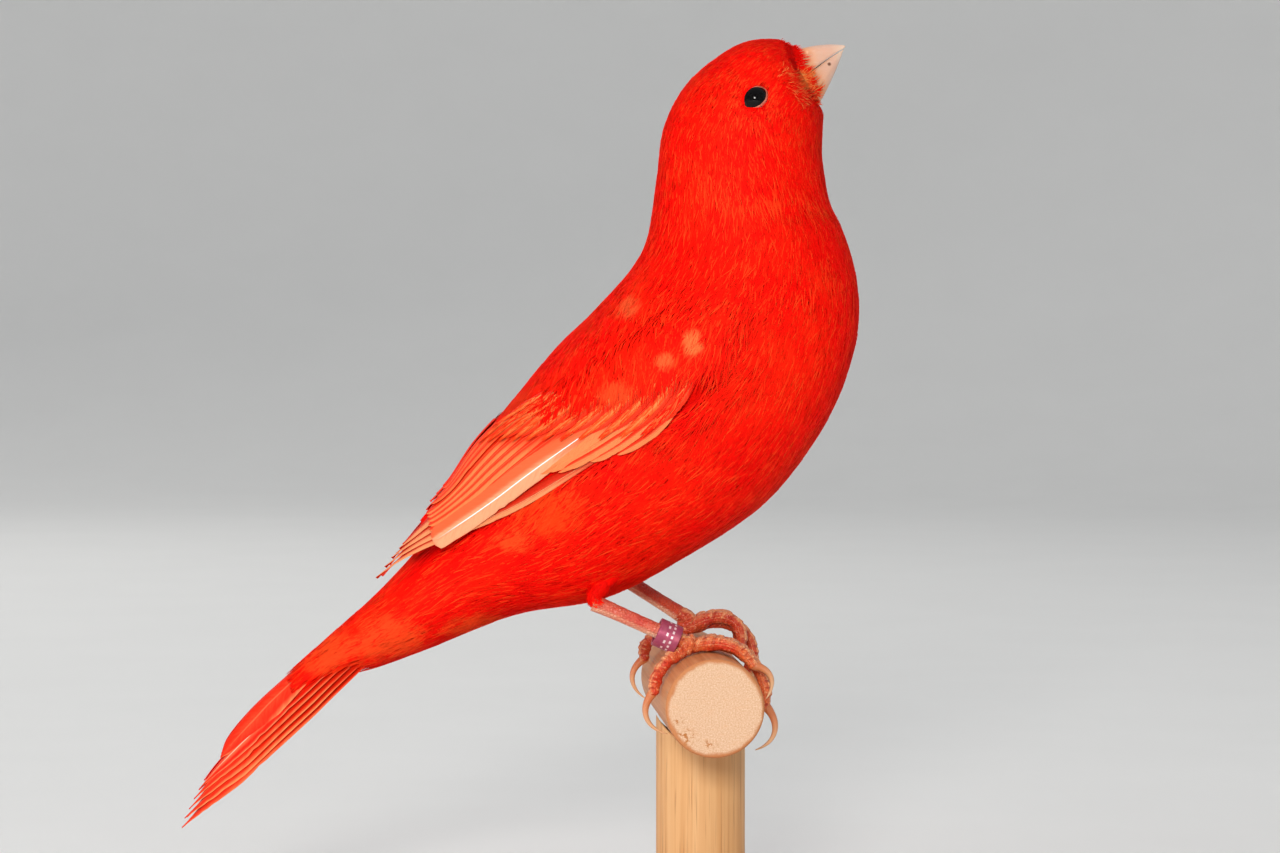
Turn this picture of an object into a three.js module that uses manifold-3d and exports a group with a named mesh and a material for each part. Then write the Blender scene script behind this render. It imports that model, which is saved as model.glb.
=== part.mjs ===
// A live canary perched on a cut length of dowel, held by a plain display stand.
// Units are millimetres. The bird faces +X, its left side is +Y and up is +Z.
// The floor is z = 0, and the stand's post stands on x = 0, y = 0.

import * as THREE from "three";
import { mergeVertices } from "three/addons/utils/BufferGeometryUtils.js";
import Module from "manifold-3d";

const wasm = await Module();
wasm.setup();
const { Manifold, Mesh: SolidMesh } = wasm;

// Shared sizes
const GAP = 0.3; // space between neighbouring pieces
const RIGHT = -1;
const LEFT = 1;

// Stand and perch
const BASE_RADIUS = 32;
const BASE_HEIGHT = 6;
const POST_RADIUS = 5.9;
const DOWEL_RADIUS = 6.35;
const DOWEL_LENGTH = 40;
const DOWEL_Z = 32.9;
const EDGE_ROUND = 0.5;

// The body is a loft. Each station is a flat section across the bird: its point
// on the back line, its point on the throat and belly line, its half width, and
// how far down the section the widest place lies.
const BODY = [
  { back: [12.3, 117.6], front: [15.6, 111.0], half: 3.3, wide: 0.5 }, // bill base
  { back: [9.8, 118.9], front: [16.6, 109.2], half: 6.2, wide: 0.5 }, // forehead
  { back: [4.6, 118.2], front: [16.5, 106.6], half: 8.7, wide: 0.5 }, // crown
  { back: [-1.6, 113.5], front: [16.3, 103.6], half: 9.6, wide: 0.5 }, // back of the head
  { back: [-4.9, 107.4], front: [16.4, 100.8], half: 9.8, wide: 0.5 }, // nape
  { back: [-5.9, 100.2], front: [17.0, 97.6], half: 10.2, wide: 0.5 }, // neck
  { back: [-7.7, 91.2], front: [18.9, 93.6], half: 11.6, wide: 0.5 }, // neck base
  { back: [-13.3, 84.2], front: [20.7, 87.0], half: 14.2, wide: 0.48 }, // shoulders
  { back: [-19.0, 78.6], front: [20.4, 79.1], half: 16.0, wide: 0.46 }, // breast
  { back: [-24.3, 72.3], front: [16.6, 68.9], half: 16.6, wide: 0.46 }, // keel
  { back: [-29.2, 66.0], front: [8.8, 58.4], half: 15.8, wide: 0.46 }, // belly
  { back: [-32.6, 60.0], front: [-1.5, 51.3], half: 13.6, wide: 0.48 }, // flank
  { back: [-35.4, 55.2], front: [-12.5, 45.6], half: 11.0, wide: 0.5 }, // rump
  { back: [-38.2, 51.1], front: [-24.5, 43.4], half: 8.4, wide: 0.5 }, // vent
  { back: [-42.6, 46.4], front: [-35.7, 39.0], half: 5.9, wide: 0.5 }, // tail coverts
  { back: [-47.6, 41.9], front: [-43.1, 36.3], half: 4.4, wide: 0.5 }, // tail base
];

// The folded wings lie on the same loft with its rear stations raised, so the
// primaries run straight back and stand clear of the rump.
const WING_BED = BODY.map((station) => ({ ...station }));
WING_BED[10] = { back: [-29.6, 66.4], front: [8.8, 58.4], half: 15.8, wide: 0.46 };
WING_BED[11] = { back: [-33.4, 60.7], front: [-1.5, 51.3], half: 13.8, wide: 0.48 };
WING_BED[12] = { back: [-37.1, 57.0], front: [-12.5, 45.4], half: 11.7, wide: 0.5 };
WING_BED[13] = { back: [-41.1, 52.6], front: [-24.5, 43.0], half: 9.7, wide: 0.5 };
WING_BED[14] = { back: [-45.1, 47.7], front: [-35.5, 39.2], half: 7.4, wide: 0.5 };
WING_BED[15] = { back: [-49.7, 42.5], front: [-43.2, 36.0], half: 6.0, wide: 0.5 };
const BELLY_FULL = 0.76;

// Places along the body, counted in stations
const HEAD_END = 4.3;
const NECK_END = 6.3;
const TORSO_END = 11.9;
const RUMP_END = 15;
const ROUND_STEPS = 36;
const LENGTH_STEP = 0.45;

// Head
const EYE = { along: 2.74, turn: 74, depth: 1.3, radius: 2.0 };
const LID = { width: 1.82, height: 1.5, thick: 0.42, lift: 0.12, tilt: 30 };
const SOCKET_SPACE = 0.22;
const BILL = {
  top: [[12.72, 117.7], [16.1, 118.75], [19.25, 118.3]],
  mouth: [[13.6, 114.15], [16.2, 115.5], [19.05, 117.95]],
  under: [[16.02, 111.25], [17.7, 114.2], [18.85, 117.6]],
  half: 3.1,
  tip: 0.28,
};
const MOUTH_GAP = 0.26;
const NOSTRIL = { at: [13.75, 1.75, 117.1], radius: 0.42 };

// Wing outline on the bed: station along the body, then the turn in degrees
// from the back line to its upper edge and to its lower edge
const WING_OUTLINE = [
  [7.0, 62, 96],
  [7.6, 55, 105],
  [8.2, 47, 107],
  [8.7, 37, 101],
  [9.2, 25, 93],
  [9.7, 11, 84],
  [10.3, 7, 71],
  [11.2, 7, 57],
  [11.9, 10, 51.5],
  [12.5, 14, 47],
  [13.0, 18, 43],
  [13.35, 22, 38],
  [13.62, 27, 31],
];
const WING_STEPS = 13;
const WING_COLUMNS = 5;
const WING_FLOOR = -0.9; // height of the wing's inner face over its bed
const WING_CORE = { end: 12.1, inset: -0.35, shoulder: 0.3, blade: -0.15 };

// Feathers of the wing in rows, from the back down to the lower edge. Each row
// gives the first and last feather's path as [along, turn] at root, middle and
// tip; width in mm; the heights of the hidden and the open edge; and thickness.
const WING_FEATHERS = {
  primaries: {
    count: 5,
    first: [[11.3, 25], [12.0, 21], [12.55, 20]],
    last: [[9.5, 80], [11.7, 51.5], [13.62, 29]],
    width: [1.5, 1.15],
    heights: [-0.45, -0.1],
    thick: 0.5,
  },
  secondaries: {
    count: 6,
    first: [[9.45, 33], [10.8, 22], [11.95, 19]],
    last: [[9.3, 66], [10.9, 50.5], [12.4, 45]],
    width: [2.6, 3.3],
    heights: [-0.05, 0.4],
    thick: 0.55,
  },
  tertials: {
    count: 3,
    first: [[9.6, 15], [10.4, 10.5], [11.15, 10]],
    last: [[9.5, 27], [10.6, 17], [11.7, 15.5]],
    width: [2.5, 2.7],
    heights: [0.15, 0.5],
    thick: 0.6,
  },
  coverts: {
    count: 7,
    first: [[9.05, 36], [9.5, 26], [9.95, 21]],
    last: [[8.15, 97], [8.75, 94], [9.35, 85]],
    width: [3.0, 2.7],
    heights: [0.3, 0.7],
    thick: 0.65,
  },
  medians: {
    count: 5,
    first: [[8.3, 56], [8.7, 52], [9.1, 46]],
    last: [[7.6, 99], [8.1, 98], [8.6, 93]],
    width: [2.9, 2.5],
    heights: [0.45, 0.85],
    thick: 0.65,
  },
  alula: {
    count: 3,
    first: [[9.25, 84], [9.75, 76], [10.2, 68.5]],
    last: [[8.85, 96], [9.25, 92], [9.6, 85.5]],
    width: [1.7, 1.5],
    heights: [0.0, 0.35],
    thick: 0.6,
  },
};
const VANE_STEPS = 4;
const WING_DROOP_LEFT = 12; // the far wing's tip hangs a little lower

// Tail: lines of the uppermost and lowest feather, seen from the side
const TAIL_TOP = [
  [-46.9, 41.6],
  [-51.7, 37.9],
  [-55.3, 34.8],
  [-58.8, 31.6],
  [-61.7, 28.4],
  [-63.9, 25.4],
];
const TAIL_LOW = [
  [-43.9, 38.1],
  [-49.2, 33.6],
  [-54.9, 28.8],
  [-60.5, 24.0],
  [-65.4, 19.5],
  [-68.5, 16.4],
];
const TAIL = {
  pairs: 6,
  steps: 5,
  rootHalf: 3.0,
  half: 3.5,
  step: 0.68,
  part: 0.24,
  slope: 0.1,
  thick: 0.5,
  coreEnd: 0.34,
};

// Legs, seen from the side, with each foot's distance from the middle,
// and, for each toe, how it spreads, the angles over the dowel where it starts and
// ends, how far it arches off the wood, and its claw's angle, bow and tip height
const LEGS = {
  right: {
    side: RIGHT,
    out: 11,
    hock: [-15.0, 9.0, 45.7],
    ankle: [-2.9, 11, 40.35],
    toes: [
      { name: "outer", spread: 3.4, from: -16, to: 52, arch: 0.5, claw: 33, bow: 1.3, tip: 0.5 },
      { name: "middle", spread: 0.2, from: -16, to: 99, arch: 0.3, claw: 38, bow: 1.5, tip: 2.3 },
      { name: "inner", spread: -3.2, from: -16, to: 60, arch: 0.5, claw: 34, bow: 1.3, tip: 0.6 },
      { name: "hind", spread: 0.4, from: -24, to: -84, arch: 0.2, claw: -44, bow: 1.35, tip: 0.3 },
    ],
  },
  left: {
    side: LEFT,
    out: 10,
    hock: [-11.5, 8.2, 48.5],
    ankle: [-1.0, 10, 41.7],
    toes: [
      { name: "outer", spread: 3.4, from: -8, to: 56, arch: 2.7, claw: 34, bow: 1.3, tip: 0.4 },
      { name: "middle", spread: 0.2, from: -8, to: 80, arch: 2.4, claw: 38, bow: 1.2, tip: 0.9 },
      { name: "inner", spread: -3.2, from: -8, to: 54, arch: 2.7, claw: 33, bow: 1.3, tip: 0.4 },
      { name: "hind", spread: 0.4, from: -18, to: -66, arch: 1.0, claw: -42, bow: 1.3, tip: 0.3 },
    ],
  },
};
const TARSUS_RADIUS = 1.05;
const TOE_RADIUS = 0.92;
const CLAW_RADIUS = 0.55;
const THIGH_CUFF = 0.1;
const THIGH_RADII = [3.1, 3.0, 2.2, 1.5];
const BAND = { along: 0.8, length: 3.0, bore: 1.48, radius: 1.88, hang: 0.1 };

// Vectors and curves

function vec(x, y, z) {
  return new THREE.Vector3(x, y, z);
}

function radians(degrees) {
  return (degrees * Math.PI) / 180;
}

function mix(a, b, t) {
  return a + (b - a) * t;
}

// A smooth curve through rows of numbers; t counts rows.
function smooth(rows, t) {
  const last = rows.length - 1;
  const at = Math.min(Math.max(t, 0), last);
  const i = Math.min(Math.floor(at), last - 1);
  const u = at - i;
  const row = (k) => {
    if (k < 0) return rows[0].map((value, c) => 2 * value - rows[1][c]);
    if (k > last) return rows[last].map((value, c) => 2 * value - rows[last - 1][c]);
    return rows[k];
  };
  const [p0, p1, p2, p3] = [row(i - 1), row(i), row(i + 1), row(i + 2)];
  return p1.map((value, c) => {
    const a = 2 * value;
    const b = p2[c] - p0[c];
    const d = 2 * p0[c] - 5 * value + 4 * p2[c] - p3[c];
    const e = 3 * value - p0[c] - 3 * p2[c] + p3[c];
    return 0.5 * (a + b * u + d * u * u + e * u * u * u);
  });
}

// Straight steps between rows, looked up by the rows' first number.
function lookUp(rows, key) {
  const last = rows.length - 1;
  if (key <= rows[0][0]) return rows[0];
  if (key >= rows[last][0]) return rows[last];
  const i = rows.findIndex((row) => row[0] > key) - 1;
  const t = (key - rows[i][0]) / (rows[i + 1][0] - rows[i][0]);
  return rows[i].map((value, c) => mix(value, rows[i + 1][c], t));
}

function bezier(points, t) {
  const [a, b, c] = points;
  const s = 1 - t;
  return a.map((value, k) => s * s * value + 2 * s * t * b[k] + t * t * c[k]);
}

// The body surface

function tableOf(stations) {
  return stations.map(({ back, front, half, wide }) => [...back, ...front, half, wide]);
}

const bodyTable = tableOf(BODY);
const bedTable = tableOf(WING_BED);

// A point of the loft; turn is in degrees from the back line, positive to the left.
function loftPoint(table, along, turn) {
  const [bx, bz, fx, fz, half, wide] = smooth(table, along);
  const c = Math.cos(radians(turn));
  const s = Math.sin(radians(turn));
  const t = c >= 0 ? wide - wide * c : wide - (1 - wide) * c;
  const side = c >= 0 ? s : Math.sign(s) * Math.pow(Math.abs(s), fullness(along));
  return vec(mix(bx, fx, t), half * side, mix(bz, fz, t));
}

// Below its widest place the belly is fuller than an ellipse.
function fullness(along) {
  const rise = THREE.MathUtils.smoothstep(along, 6.5, 8.5);
  const fall = THREE.MathUtils.smoothstep(along, 12.5, 15);
  return mix(1, BELLY_FULL, rise * (1 - fall));
}

function loftNormal(table, along, turn) {
  const step = 0.02;
  const a = Math.min(Math.max(along, step), table.length - 1 - step);
  const ds = loftPoint(table, a + step, turn).sub(loftPoint(table, a - step, turn));
  const dt = loftPoint(table, a, turn + 1).sub(loftPoint(table, a, turn - 1));
  const normal = ds.cross(dt).normalize();
  const middle = loftPoint(table, a, 0).add(loftPoint(table, a, 180)).multiplyScalar(0.5);
  const out = loftPoint(table, a, turn).sub(middle);
  return normal.dot(out) < 0 ? normal.negate() : normal;
}

function onLoft(table, along, turn, lift) {
  return loftPoint(table, along, turn).addScaledVector(loftNormal(table, along, turn), lift);
}

// The flat section at a station: a point in it and its normal toward the tail
function sectionPlane(along) {
  const [bx, bz, fx, fz] = smooth(bodyTable, along);
  const down = vec(fx - bx, 0, fz - bz).normalize();
  const normal = vec(0, 1, 0).cross(down).negate();
  const ahead = smooth(bodyTable, Math.min(along + 0.2, RUMP_END));
  const behind = smooth(bodyTable, Math.max(along - 0.2, 0));
  const [dx, dz] = [ahead[0] + ahead[2] - behind[0] - behind[2], ahead[1] + ahead[3] - behind[1] - behind[3]];
  if (normal.dot(vec(dx, 0, dz)) < 0) normal.negate();
  return { point: vec((bx + fx) / 2, 0, (bz + fz) / 2), normal };
}

// Solids

function closedSolid(verts, tris) {
  let volume = 0;
  const corner = (k) => vec(verts[3 * k], verts[3 * k + 1], verts[3 * k + 2]);
  for (let i = 0; i < tris.length; i += 3) {
    volume += corner(tris[i]).dot(corner(tris[i + 1]).cross(corner(tris[i + 2])));
  }
  const order = volume < 0 ? [0, 2, 1] : [0, 1, 2];
  const turned = [];
  for (let i = 0; i < tris.length; i += 3) {
    order.forEach((k) => turned.push(tris[i + k]));
  }
  return new Manifold(
    new SolidMesh({
      numProp: 3,
      vertProperties: new Float32Array(verts),
      triVerts: new Uint32Array(turned),
    }),
  );
}

// A closed solid through rings of points, each end closed by a point in its middle.
// flip(k) chooses the other diagonal of the face beside point k.
function loftRings(rings, flip = () => false) {
  const verts = [];
  const tris = [];
  const starts = rings.map((ring) => {
    const first = verts.length / 3;
    ring.forEach((p) => verts.push(p.x, p.y, p.z));
    return first;
  });
  const n = Math.max(...rings.map((ring) => ring.length));
  for (let i = 0; i + 1 < rings.length; i += 1) {
    for (let k = 0; k < n; k += 1) {
      const next = (k + 1) % n;
      const near = rings[i].length > 1;
      const far = rings[i + 1].length > 1;
      const a = starts[i] + (near ? k : 0);
      const a1 = starts[i] + (near ? next : 0);
      const b = starts[i + 1] + (far ? k : 0);
      const b1 = starts[i + 1] + (far ? next : 0);
      if (!near) tris.push(a, b1, b);
      else if (!far) tris.push(a, a1, b);
      else if (flip(k)) tris.push(a, a1, b, a1, b1, b);
      else tris.push(a, a1, b1, a, b1, b);
    }
  }
  const cap = (ring, start, forward) => {
    if (ring.length === 1) return;
    const middle = ring.reduce((sum, p) => sum.add(p), vec(0, 0, 0)).multiplyScalar(1 / ring.length);
    const centre = verts.length / 3;
    verts.push(middle.x, middle.y, middle.z);
    for (let k = 0; k < n; k += 1) {
      const next = (k + 1) % n;
      if (forward) tris.push(centre, start + k, start + next);
      else tris.push(centre, start + next, start + k);
    }
  };
  cap(rings[0], starts[0], false);
  cap(rings[rings.length - 1], starts[rings.length - 1], true);
  return closedSolid(verts, tris);
}

// A curved sheet with an outer and an inner face; point(u, v, face) gives its corners,
// with face 1 outside and 0 inside.
function sheetSolid(point, countU, countV) {
  const verts = [];
  const tris = [];
  const index = (i, j, face) => (face * (countU + 1) + i) * (countV + 1) + j;
  for (let face = 0; face < 2; face += 1) {
    for (let i = 0; i <= countU; i += 1) {
      for (let j = 0; j <= countV; j += 1) {
        const p = point(i / countU, j / countV, face);
        verts.push(p.x, p.y, p.z);
      }
    }
  }
  const quad = (a, b, c, d) => tris.push(a, b, c, a, c, d);
  for (let i = 0; i < countU; i += 1) {
    for (let j = 0; j < countV; j += 1) {
      const [a, b, c, d] = [[i, j], [i + 1, j], [i + 1, j + 1], [i, j + 1]];
      quad(index(...a, 1), index(...b, 1), index(...c, 1), index(...d, 1));
      tris.push(index(...a, 0), index(...c, 0), index(...b, 0));
      tris.push(index(...a, 0), index(...d, 0), index(...c, 0));
    }
  }
  for (let i = 0; i < countU; i += 1) {
    quad(index(i, 0, 0), index(i + 1, 0, 0), index(i + 1, 0, 1), index(i, 0, 1));
    quad(index(i + 1, countV, 0), index(i, countV, 0), index(i, countV, 1), index(i + 1, countV, 1));
  }
  for (let j = 0; j < countV; j += 1) {
    quad(index(0, j + 1, 0), index(0, j, 0), index(0, j, 1), index(0, j + 1, 1));
    quad(index(countU, j, 0), index(countU, j + 1, 0), index(countU, j + 1, 1), index(countU, j, 1));
  }
  return closedSolid(verts, tris);
}

function fromGeometry(geometry) {
  const plain = geometry.clone();
  plain.deleteAttribute("normal");
  plain.deleteAttribute("uv");
  const merged = mergeVertices(plain, 1e-4);
  return closedSolid(Array.from(merged.attributes.position.array), Array.from(merged.index.array));
}

// A round bar along a path, with a radius for each place on it. Its rings keep
// one direction, side, across the path.
function sweep(path, radii, sides, side = vec(0, 1, 0), flat = 1) {
  const rings = path.map((p, i) => {
    const before = path[Math.max(i - 1, 0)];
    const after = path[Math.min(i + 1, path.length - 1)];
    const run = after.clone().sub(before).normalize();
    const up = run.clone().cross(side).normalize();
    const across = up.clone().cross(run).normalize();
    const ring = [];
    for (let k = 0; k < sides; k += 1) {
      const turn = (2 * Math.PI * k) / sides;
      ring.push(
        p.clone()
          .addScaledVector(across, radii[i] * Math.cos(turn))
          .addScaledVector(up, radii[i] * flat * Math.sin(turn)),
      );
    }
    return ring;
  });
  return loftRings(rings);
}

function largest(solid) {
  const pieces = solid.decompose();
  return pieces.reduce((best, piece) => (piece.volume() > best.volume() ? piece : best), pieces[0]);
}

function joined(solids) {
  return solids.reduce((all, solid) => all.add(solid));
}

// Keeps the side of the plane that its normal points to, moved along it by shift.
function keepAhead(solid, plane, shift) {
  const n = plane.normal;
  return solid.trimByPlane([n.x, n.y, n.z], plane.point.dot(n) + shift);
}

function keepBehind(solid, plane, shift) {
  const n = plane.normal;
  return solid.trimByPlane([-n.x, -n.y, -n.z], -(plane.point.dot(n) + shift));
}

// The body, one loft parted by thin cuts

function bodyLoft(lift, from = 0, to = RUMP_END, step = LENGTH_STEP) {
  const count = Math.ceil((to - from) / step);
  const rings = [];
  for (let i = 0; i <= count; i += 1) {
    const along = mix(from, to, i / count);
    const ring = [];
    for (let k = 0; k < ROUND_STEPS; k += 1) {
      const turn = (360 * k) / ROUND_STEPS;
      ring.push(lift === 0 ? loftPoint(bodyTable, along, turn) : onLoft(bodyTable, along, turn, lift));
    }
    rings.push(ring);
  }
  return loftRings(rings);
}

// Wing

function wingEdges(along, margin = 0) {
  const [, upper, lower] = lookUp(WING_OUTLINE, along);
  const half = smooth(bedTable, along)[4];
  const extra = (margin / half) * (180 / Math.PI);
  return [upper - extra, lower + extra];
}

function droop(side, along) {
  const t = Math.max(0, (along - 11) / 2.6);
  return side === LEFT ? WING_DROOP_LEFT * t * t : 0;
}

// The wing's part of the bed as a sheet between two heights. Its rows of points
// stand at the given stations.
function wingSheet(side, rows, low, high, margin) {
  return sheetSolid(
    (u, v, face) => {
      const along = rows[Math.round(u * (rows.length - 1))];
      const [upper, lower] = wingEdges(along, margin);
      const turn = mix(upper, lower, v) + droop(side, along);
      return onLoft(bedTable, along, side * turn, face ? high : low);
    },
    rows.length - 1,
    WING_COLUMNS,
  );
}

function wingRows() {
  const rows = [];
  for (let i = 0; i <= WING_STEPS; i += 1) {
    rows.push(mix(WING_OUTLINE[0][0], WING_OUTLINE[WING_OUTLINE.length - 1][0], i / WING_STEPS));
  }
  return rows;
}

// The hollow in the body that the wing lies in
function wingHollow(side) {
  const rows = wingRows();
  const longer = [rows[0] - 0.12, ...rows, rows[rows.length - 1] + 0.7];
  return wingSheet(side, longer, WING_FLOOR - GAP, 6, 0.52);
}

// Moves a place on the bed by a distance across a path that runs that way.
function acrossBed(along, turn, run, distance) {
  const ds = loftPoint(bedTable, along + 0.02, turn).sub(loftPoint(bedTable, along - 0.02, turn));
  const dt = loftPoint(bedTable, along, turn + 0.5).sub(loftPoint(bedTable, along, turn - 0.5));
  ds.divideScalar(0.04);
  const forward = ds.clone().multiplyScalar(run[0]).addScaledVector(dt, run[1]).normalize();
  const normal = loftNormal(bedTable, along, turn);
  const across = normal.clone().cross(forward).normalize();
  if (across.dot(dt) < 0) across.negate();
  const [a, b, c] = [ds.dot(ds), ds.dot(dt), dt.dot(dt)];
  const [p, q] = [across.dot(ds), across.dot(dt)];
  const scale = distance / (a * c - b * b);
  return [along + scale * (c * p - b * q), turn + scale * (a * q - b * p)];
}

// The share of a vane's full width at a place along it: a narrow root, nearly
// even sides and a rounded tip
function vaneWidth(t) {
  const root = mix(0.7, 1, Math.min(1, t / 0.3));
  const tip = t > 0.8 ? Math.sqrt(Math.max(0.05, 1 - Math.pow((t - 0.8) / 0.205, 2))) : 1;
  return root * tip;
}

// One vane on the bed; mid is the path's three places, heights those of its
// hidden edge and of its open edge.
function wingVane(side, path, width, heights, thick) {
  const rings = [];
  for (let i = 0; i <= VANE_STEPS; i += 1) {
    const t = i / VANE_STEPS;
    const place = (at) => smooth(path, 2 * Math.min(Math.max(at, 0), 1));
    const [along, turn] = place(t);
    const [before, after] = [place(t - 0.05), place(t + 0.05)];
    const run = [after[0] - before[0], after[1] - before[1]];
    const half = (width / 2) * vaneWidth(t);
    const depth = thick * (t > 0.85 ? 0.62 : 1);
    const corner = (distance, height) => {
      const [s, turned] = acrossBed(along, turn, run, distance);
      const drooped = turned + droop(side, s);
      return onLoft(bedTable, s, side * drooped, height);
    };
    rings.push([
      corner(half, heights[1]),
      corner(-half, heights[0]),
      corner(-half, heights[0] - depth),
      corner(half, heights[1] - depth),
    ]);
  }
  return loftRings(rings, (k) => k === 2);
}

function wingRow(side, row) {
  const vanes = [];
  for (let i = 0; i < row.count; i += 1) {
    const t = i / (row.count - 1);
    const path = row.first.map((place, k) => place.map((value, c) => mix(value, row.last[k][c], t)));
    vanes.push(wingVane(side, path, mix(row.width[0], row.width[1], t), row.heights, row.thick));
  }
  return vanes;
}

// The wing's core: an arm under the coverts that thins to a blade behind them
function wingCore(side) {
  const rows = wingRows().filter((along) => along < WING_CORE.end);
  const top = (along) => {
    const thinned = THREE.MathUtils.clamp((along - 8.6) / 1.2, 0, 1);
    return mix(WING_CORE.shoulder, WING_CORE.blade, thinned);
  };
  return sheetSolid(
    (u, v, face) => {
      const along = rows[Math.round(u * (rows.length - 1))];
      const [upper, lower] = wingEdges(along, WING_CORE.inset);
      const turn = mix(upper, lower, v) + droop(side, along);
      return onLoft(bedTable, along, side * turn, face ? top(along) : WING_FLOOR);
    },
    rows.length - 1,
    WING_COLUMNS,
  );
}

// The wing keeps inside its hollow, clear of the hollow's sides.
function makeWing(side) {
  const rows = Object.values(WING_FEATHERS);
  const whole = joined([wingCore(side), ...rows.flatMap((row) => wingRow(side, row))]);
  const stations = wingRows();
  const longer = [...stations, stations[stations.length - 1] + 0.35];
  return largest(whole.intersect(wingSheet(side, longer, WING_FLOOR - 0.12, 6, 0.2)));
}

// Tail

function tailLine(t, depth) {
  const top = smooth(TAIL_TOP, t * (TAIL_TOP.length - 1));
  const low = smooth(TAIL_LOW, t * (TAIL_LOW.length - 1));
  return [mix(top[0], low[0], depth), mix(top[1], low[1], depth)];
}

// A tail feather runs from the tail's core to its own tip. Its inner edge lies
// by the middle, and its outer edge reaches further out the lower it lies.
function tailVane(side, place) {
  const depth = place / (TAIL.pairs - 1);
  const rings = [];
  for (let i = 0; i <= TAIL.steps; i += 1) {
    const t = i / TAIL.steps;
    const ease = Math.min(1, t * 1.3);
    const here = tailLine(t, depth);
    const before = tailLine(Math.max(t - 0.05, 0), depth);
    const after = tailLine(Math.min(t + 0.05, 1), depth);
    const run = vec(after[0] - before[0], 0, after[1] - before[1]).normalize();
    const up = vec(0, 1, 0).cross(run).normalize();
    if (up.z < 0) up.negate();
    const spread = TAIL.part * place * t * t;
    const outer = mix(TAIL.rootHalf, TAIL.half + TAIL.step * place, ease * (2 - ease));
    const middle = mix(0.2 + spread, outer, 0.5);
    const half = ((outer - 0.2 - spread) / 2) * (t > 0.8 ? vaneWidth(t) : 1);
    const thick = TAIL.thick * (t > 0.8 ? 0.7 : 1);
    const corner = (y, drop) =>
      vec(here[0], side * y, here[1]).addScaledVector(up, -TAIL.slope * y - drop);
    rings.push([
      corner(middle + half, 0),
      corner(middle - half, 0),
      corner(middle - half, thick),
      corner(middle + half, thick),
    ]);
  }
  return loftRings(rings, (k) => k === 2);
}

// The coverts over and under the roots of the tail, as one tapering core
function tailCore() {
  const rings = [];
  const steps = 8;
  for (let i = 0; i <= steps; i += 1) {
    const t = i / steps;
    const at = t * TAIL.coreEnd;
    const top = tailLine(at, -0.06);
    const low = tailLine(at, mix(1.12, 0.12, Math.pow(t, 0.8)));
    const half = mix(4.1, 2.6, t) * (t === 1 ? 0.7 : 1);
    const ring = [];
    for (let k = 0; k < 14; k += 1) {
      const turn = (2 * Math.PI * k) / 14;
      const depth = 0.5 - 0.5 * Math.cos(turn);
      ring.push(vec(mix(top[0], low[0], depth), half * Math.sin(turn), mix(top[1], low[1], depth)));
    }
    rings.push(ring);
  }
  return loftRings(rings);
}

function makeTail() {
  const vanes = [];
  for (let place = 0; place < TAIL.pairs; place += 1) {
    vanes.push(tailVane(RIGHT, place), tailVane(LEFT, place));
  }
  const whole = joined([tailCore(), ...vanes]);
  return largest(keepAhead(whole, sectionPlane(RUMP_END), GAP));
}

// Bill

function billHalf(t) {
  return mix(BILL.half, BILL.tip, Math.pow(t, 1.15));
}

// One mandible: sections that stand on the mouth line and reach the outer line.
// spread says how far back toward its base plane each section begins.
function makeMandible(outerLine, shift) {
  const rings = [];
  const steps = 8;
  for (let i = 0; i <= steps; i += 1) {
    const t = i / steps;
    const mouth = bezier(BILL.mouth, t);
    const outer = bezier(outerLine, t);
    const away = vec(outer[0] - mouth[0], 0, outer[1] - mouth[1]);
    const depth = away.length();
    away.normalize();
    const floor = vec(mouth[0], 0, mouth[1]).addScaledVector(away, shift);
    const half = billHalf(t);
    const ring = [];
    for (let k = 0; k <= 10; k += 1) {
      const turn = (Math.PI * k) / 10;
      const rise = Math.pow(Math.sin(turn), 0.8) * Math.max(depth - shift, 0.12);
      ring.push(floor.clone().addScaledVector(away, rise).add(vec(0, half * Math.cos(turn), 0)));
    }
    rings.push(ring);
  }
  return loftRings(rings);
}

// Legs

function legPoint(leg, [x, out, z]) {
  return vec(x, leg.side * out, z);
}

// A place over the dowel: angle in degrees from straight up toward the breast
function overDowel(angle, reach, y) {
  return vec(reach * Math.sin(radians(angle)), y, DOWEL_Z + reach * Math.cos(radians(angle)));
}

// A toe lies round the dowel. extra makes it fatter, for cutting its claw clear.
function makeToe(leg, toe, extra = 0) {
  const count = Math.max(6, Math.round(Math.abs(toe.to - toe.from) / 9));
  const joints = toe.name === "middle" ? 3 : 2;
  const end = toe.to + Math.sign(toe.to - toe.from) * extra * 8;
  const path = [];
  const radii = [];
  for (let i = 0; i <= count; i += 1) {
    const t = i / count;
    const radius = TOE_RADIUS * (mix(1.0, 0.74, t) + 0.07 * Math.cos(2 * Math.PI * joints * t));
    const y = leg.side * (leg.out + toe.spread * Math.pow(t, 0.8));
    const arch = toe.arch * Math.sin(Math.PI * Math.pow(t, 1.4));
    path.push(overDowel(mix(toe.from, end, t), DOWEL_RADIUS + GAP + radius + arch, y));
    radii.push(radius + extra);
  }
  return sweep(path, radii, 8);
}

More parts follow.
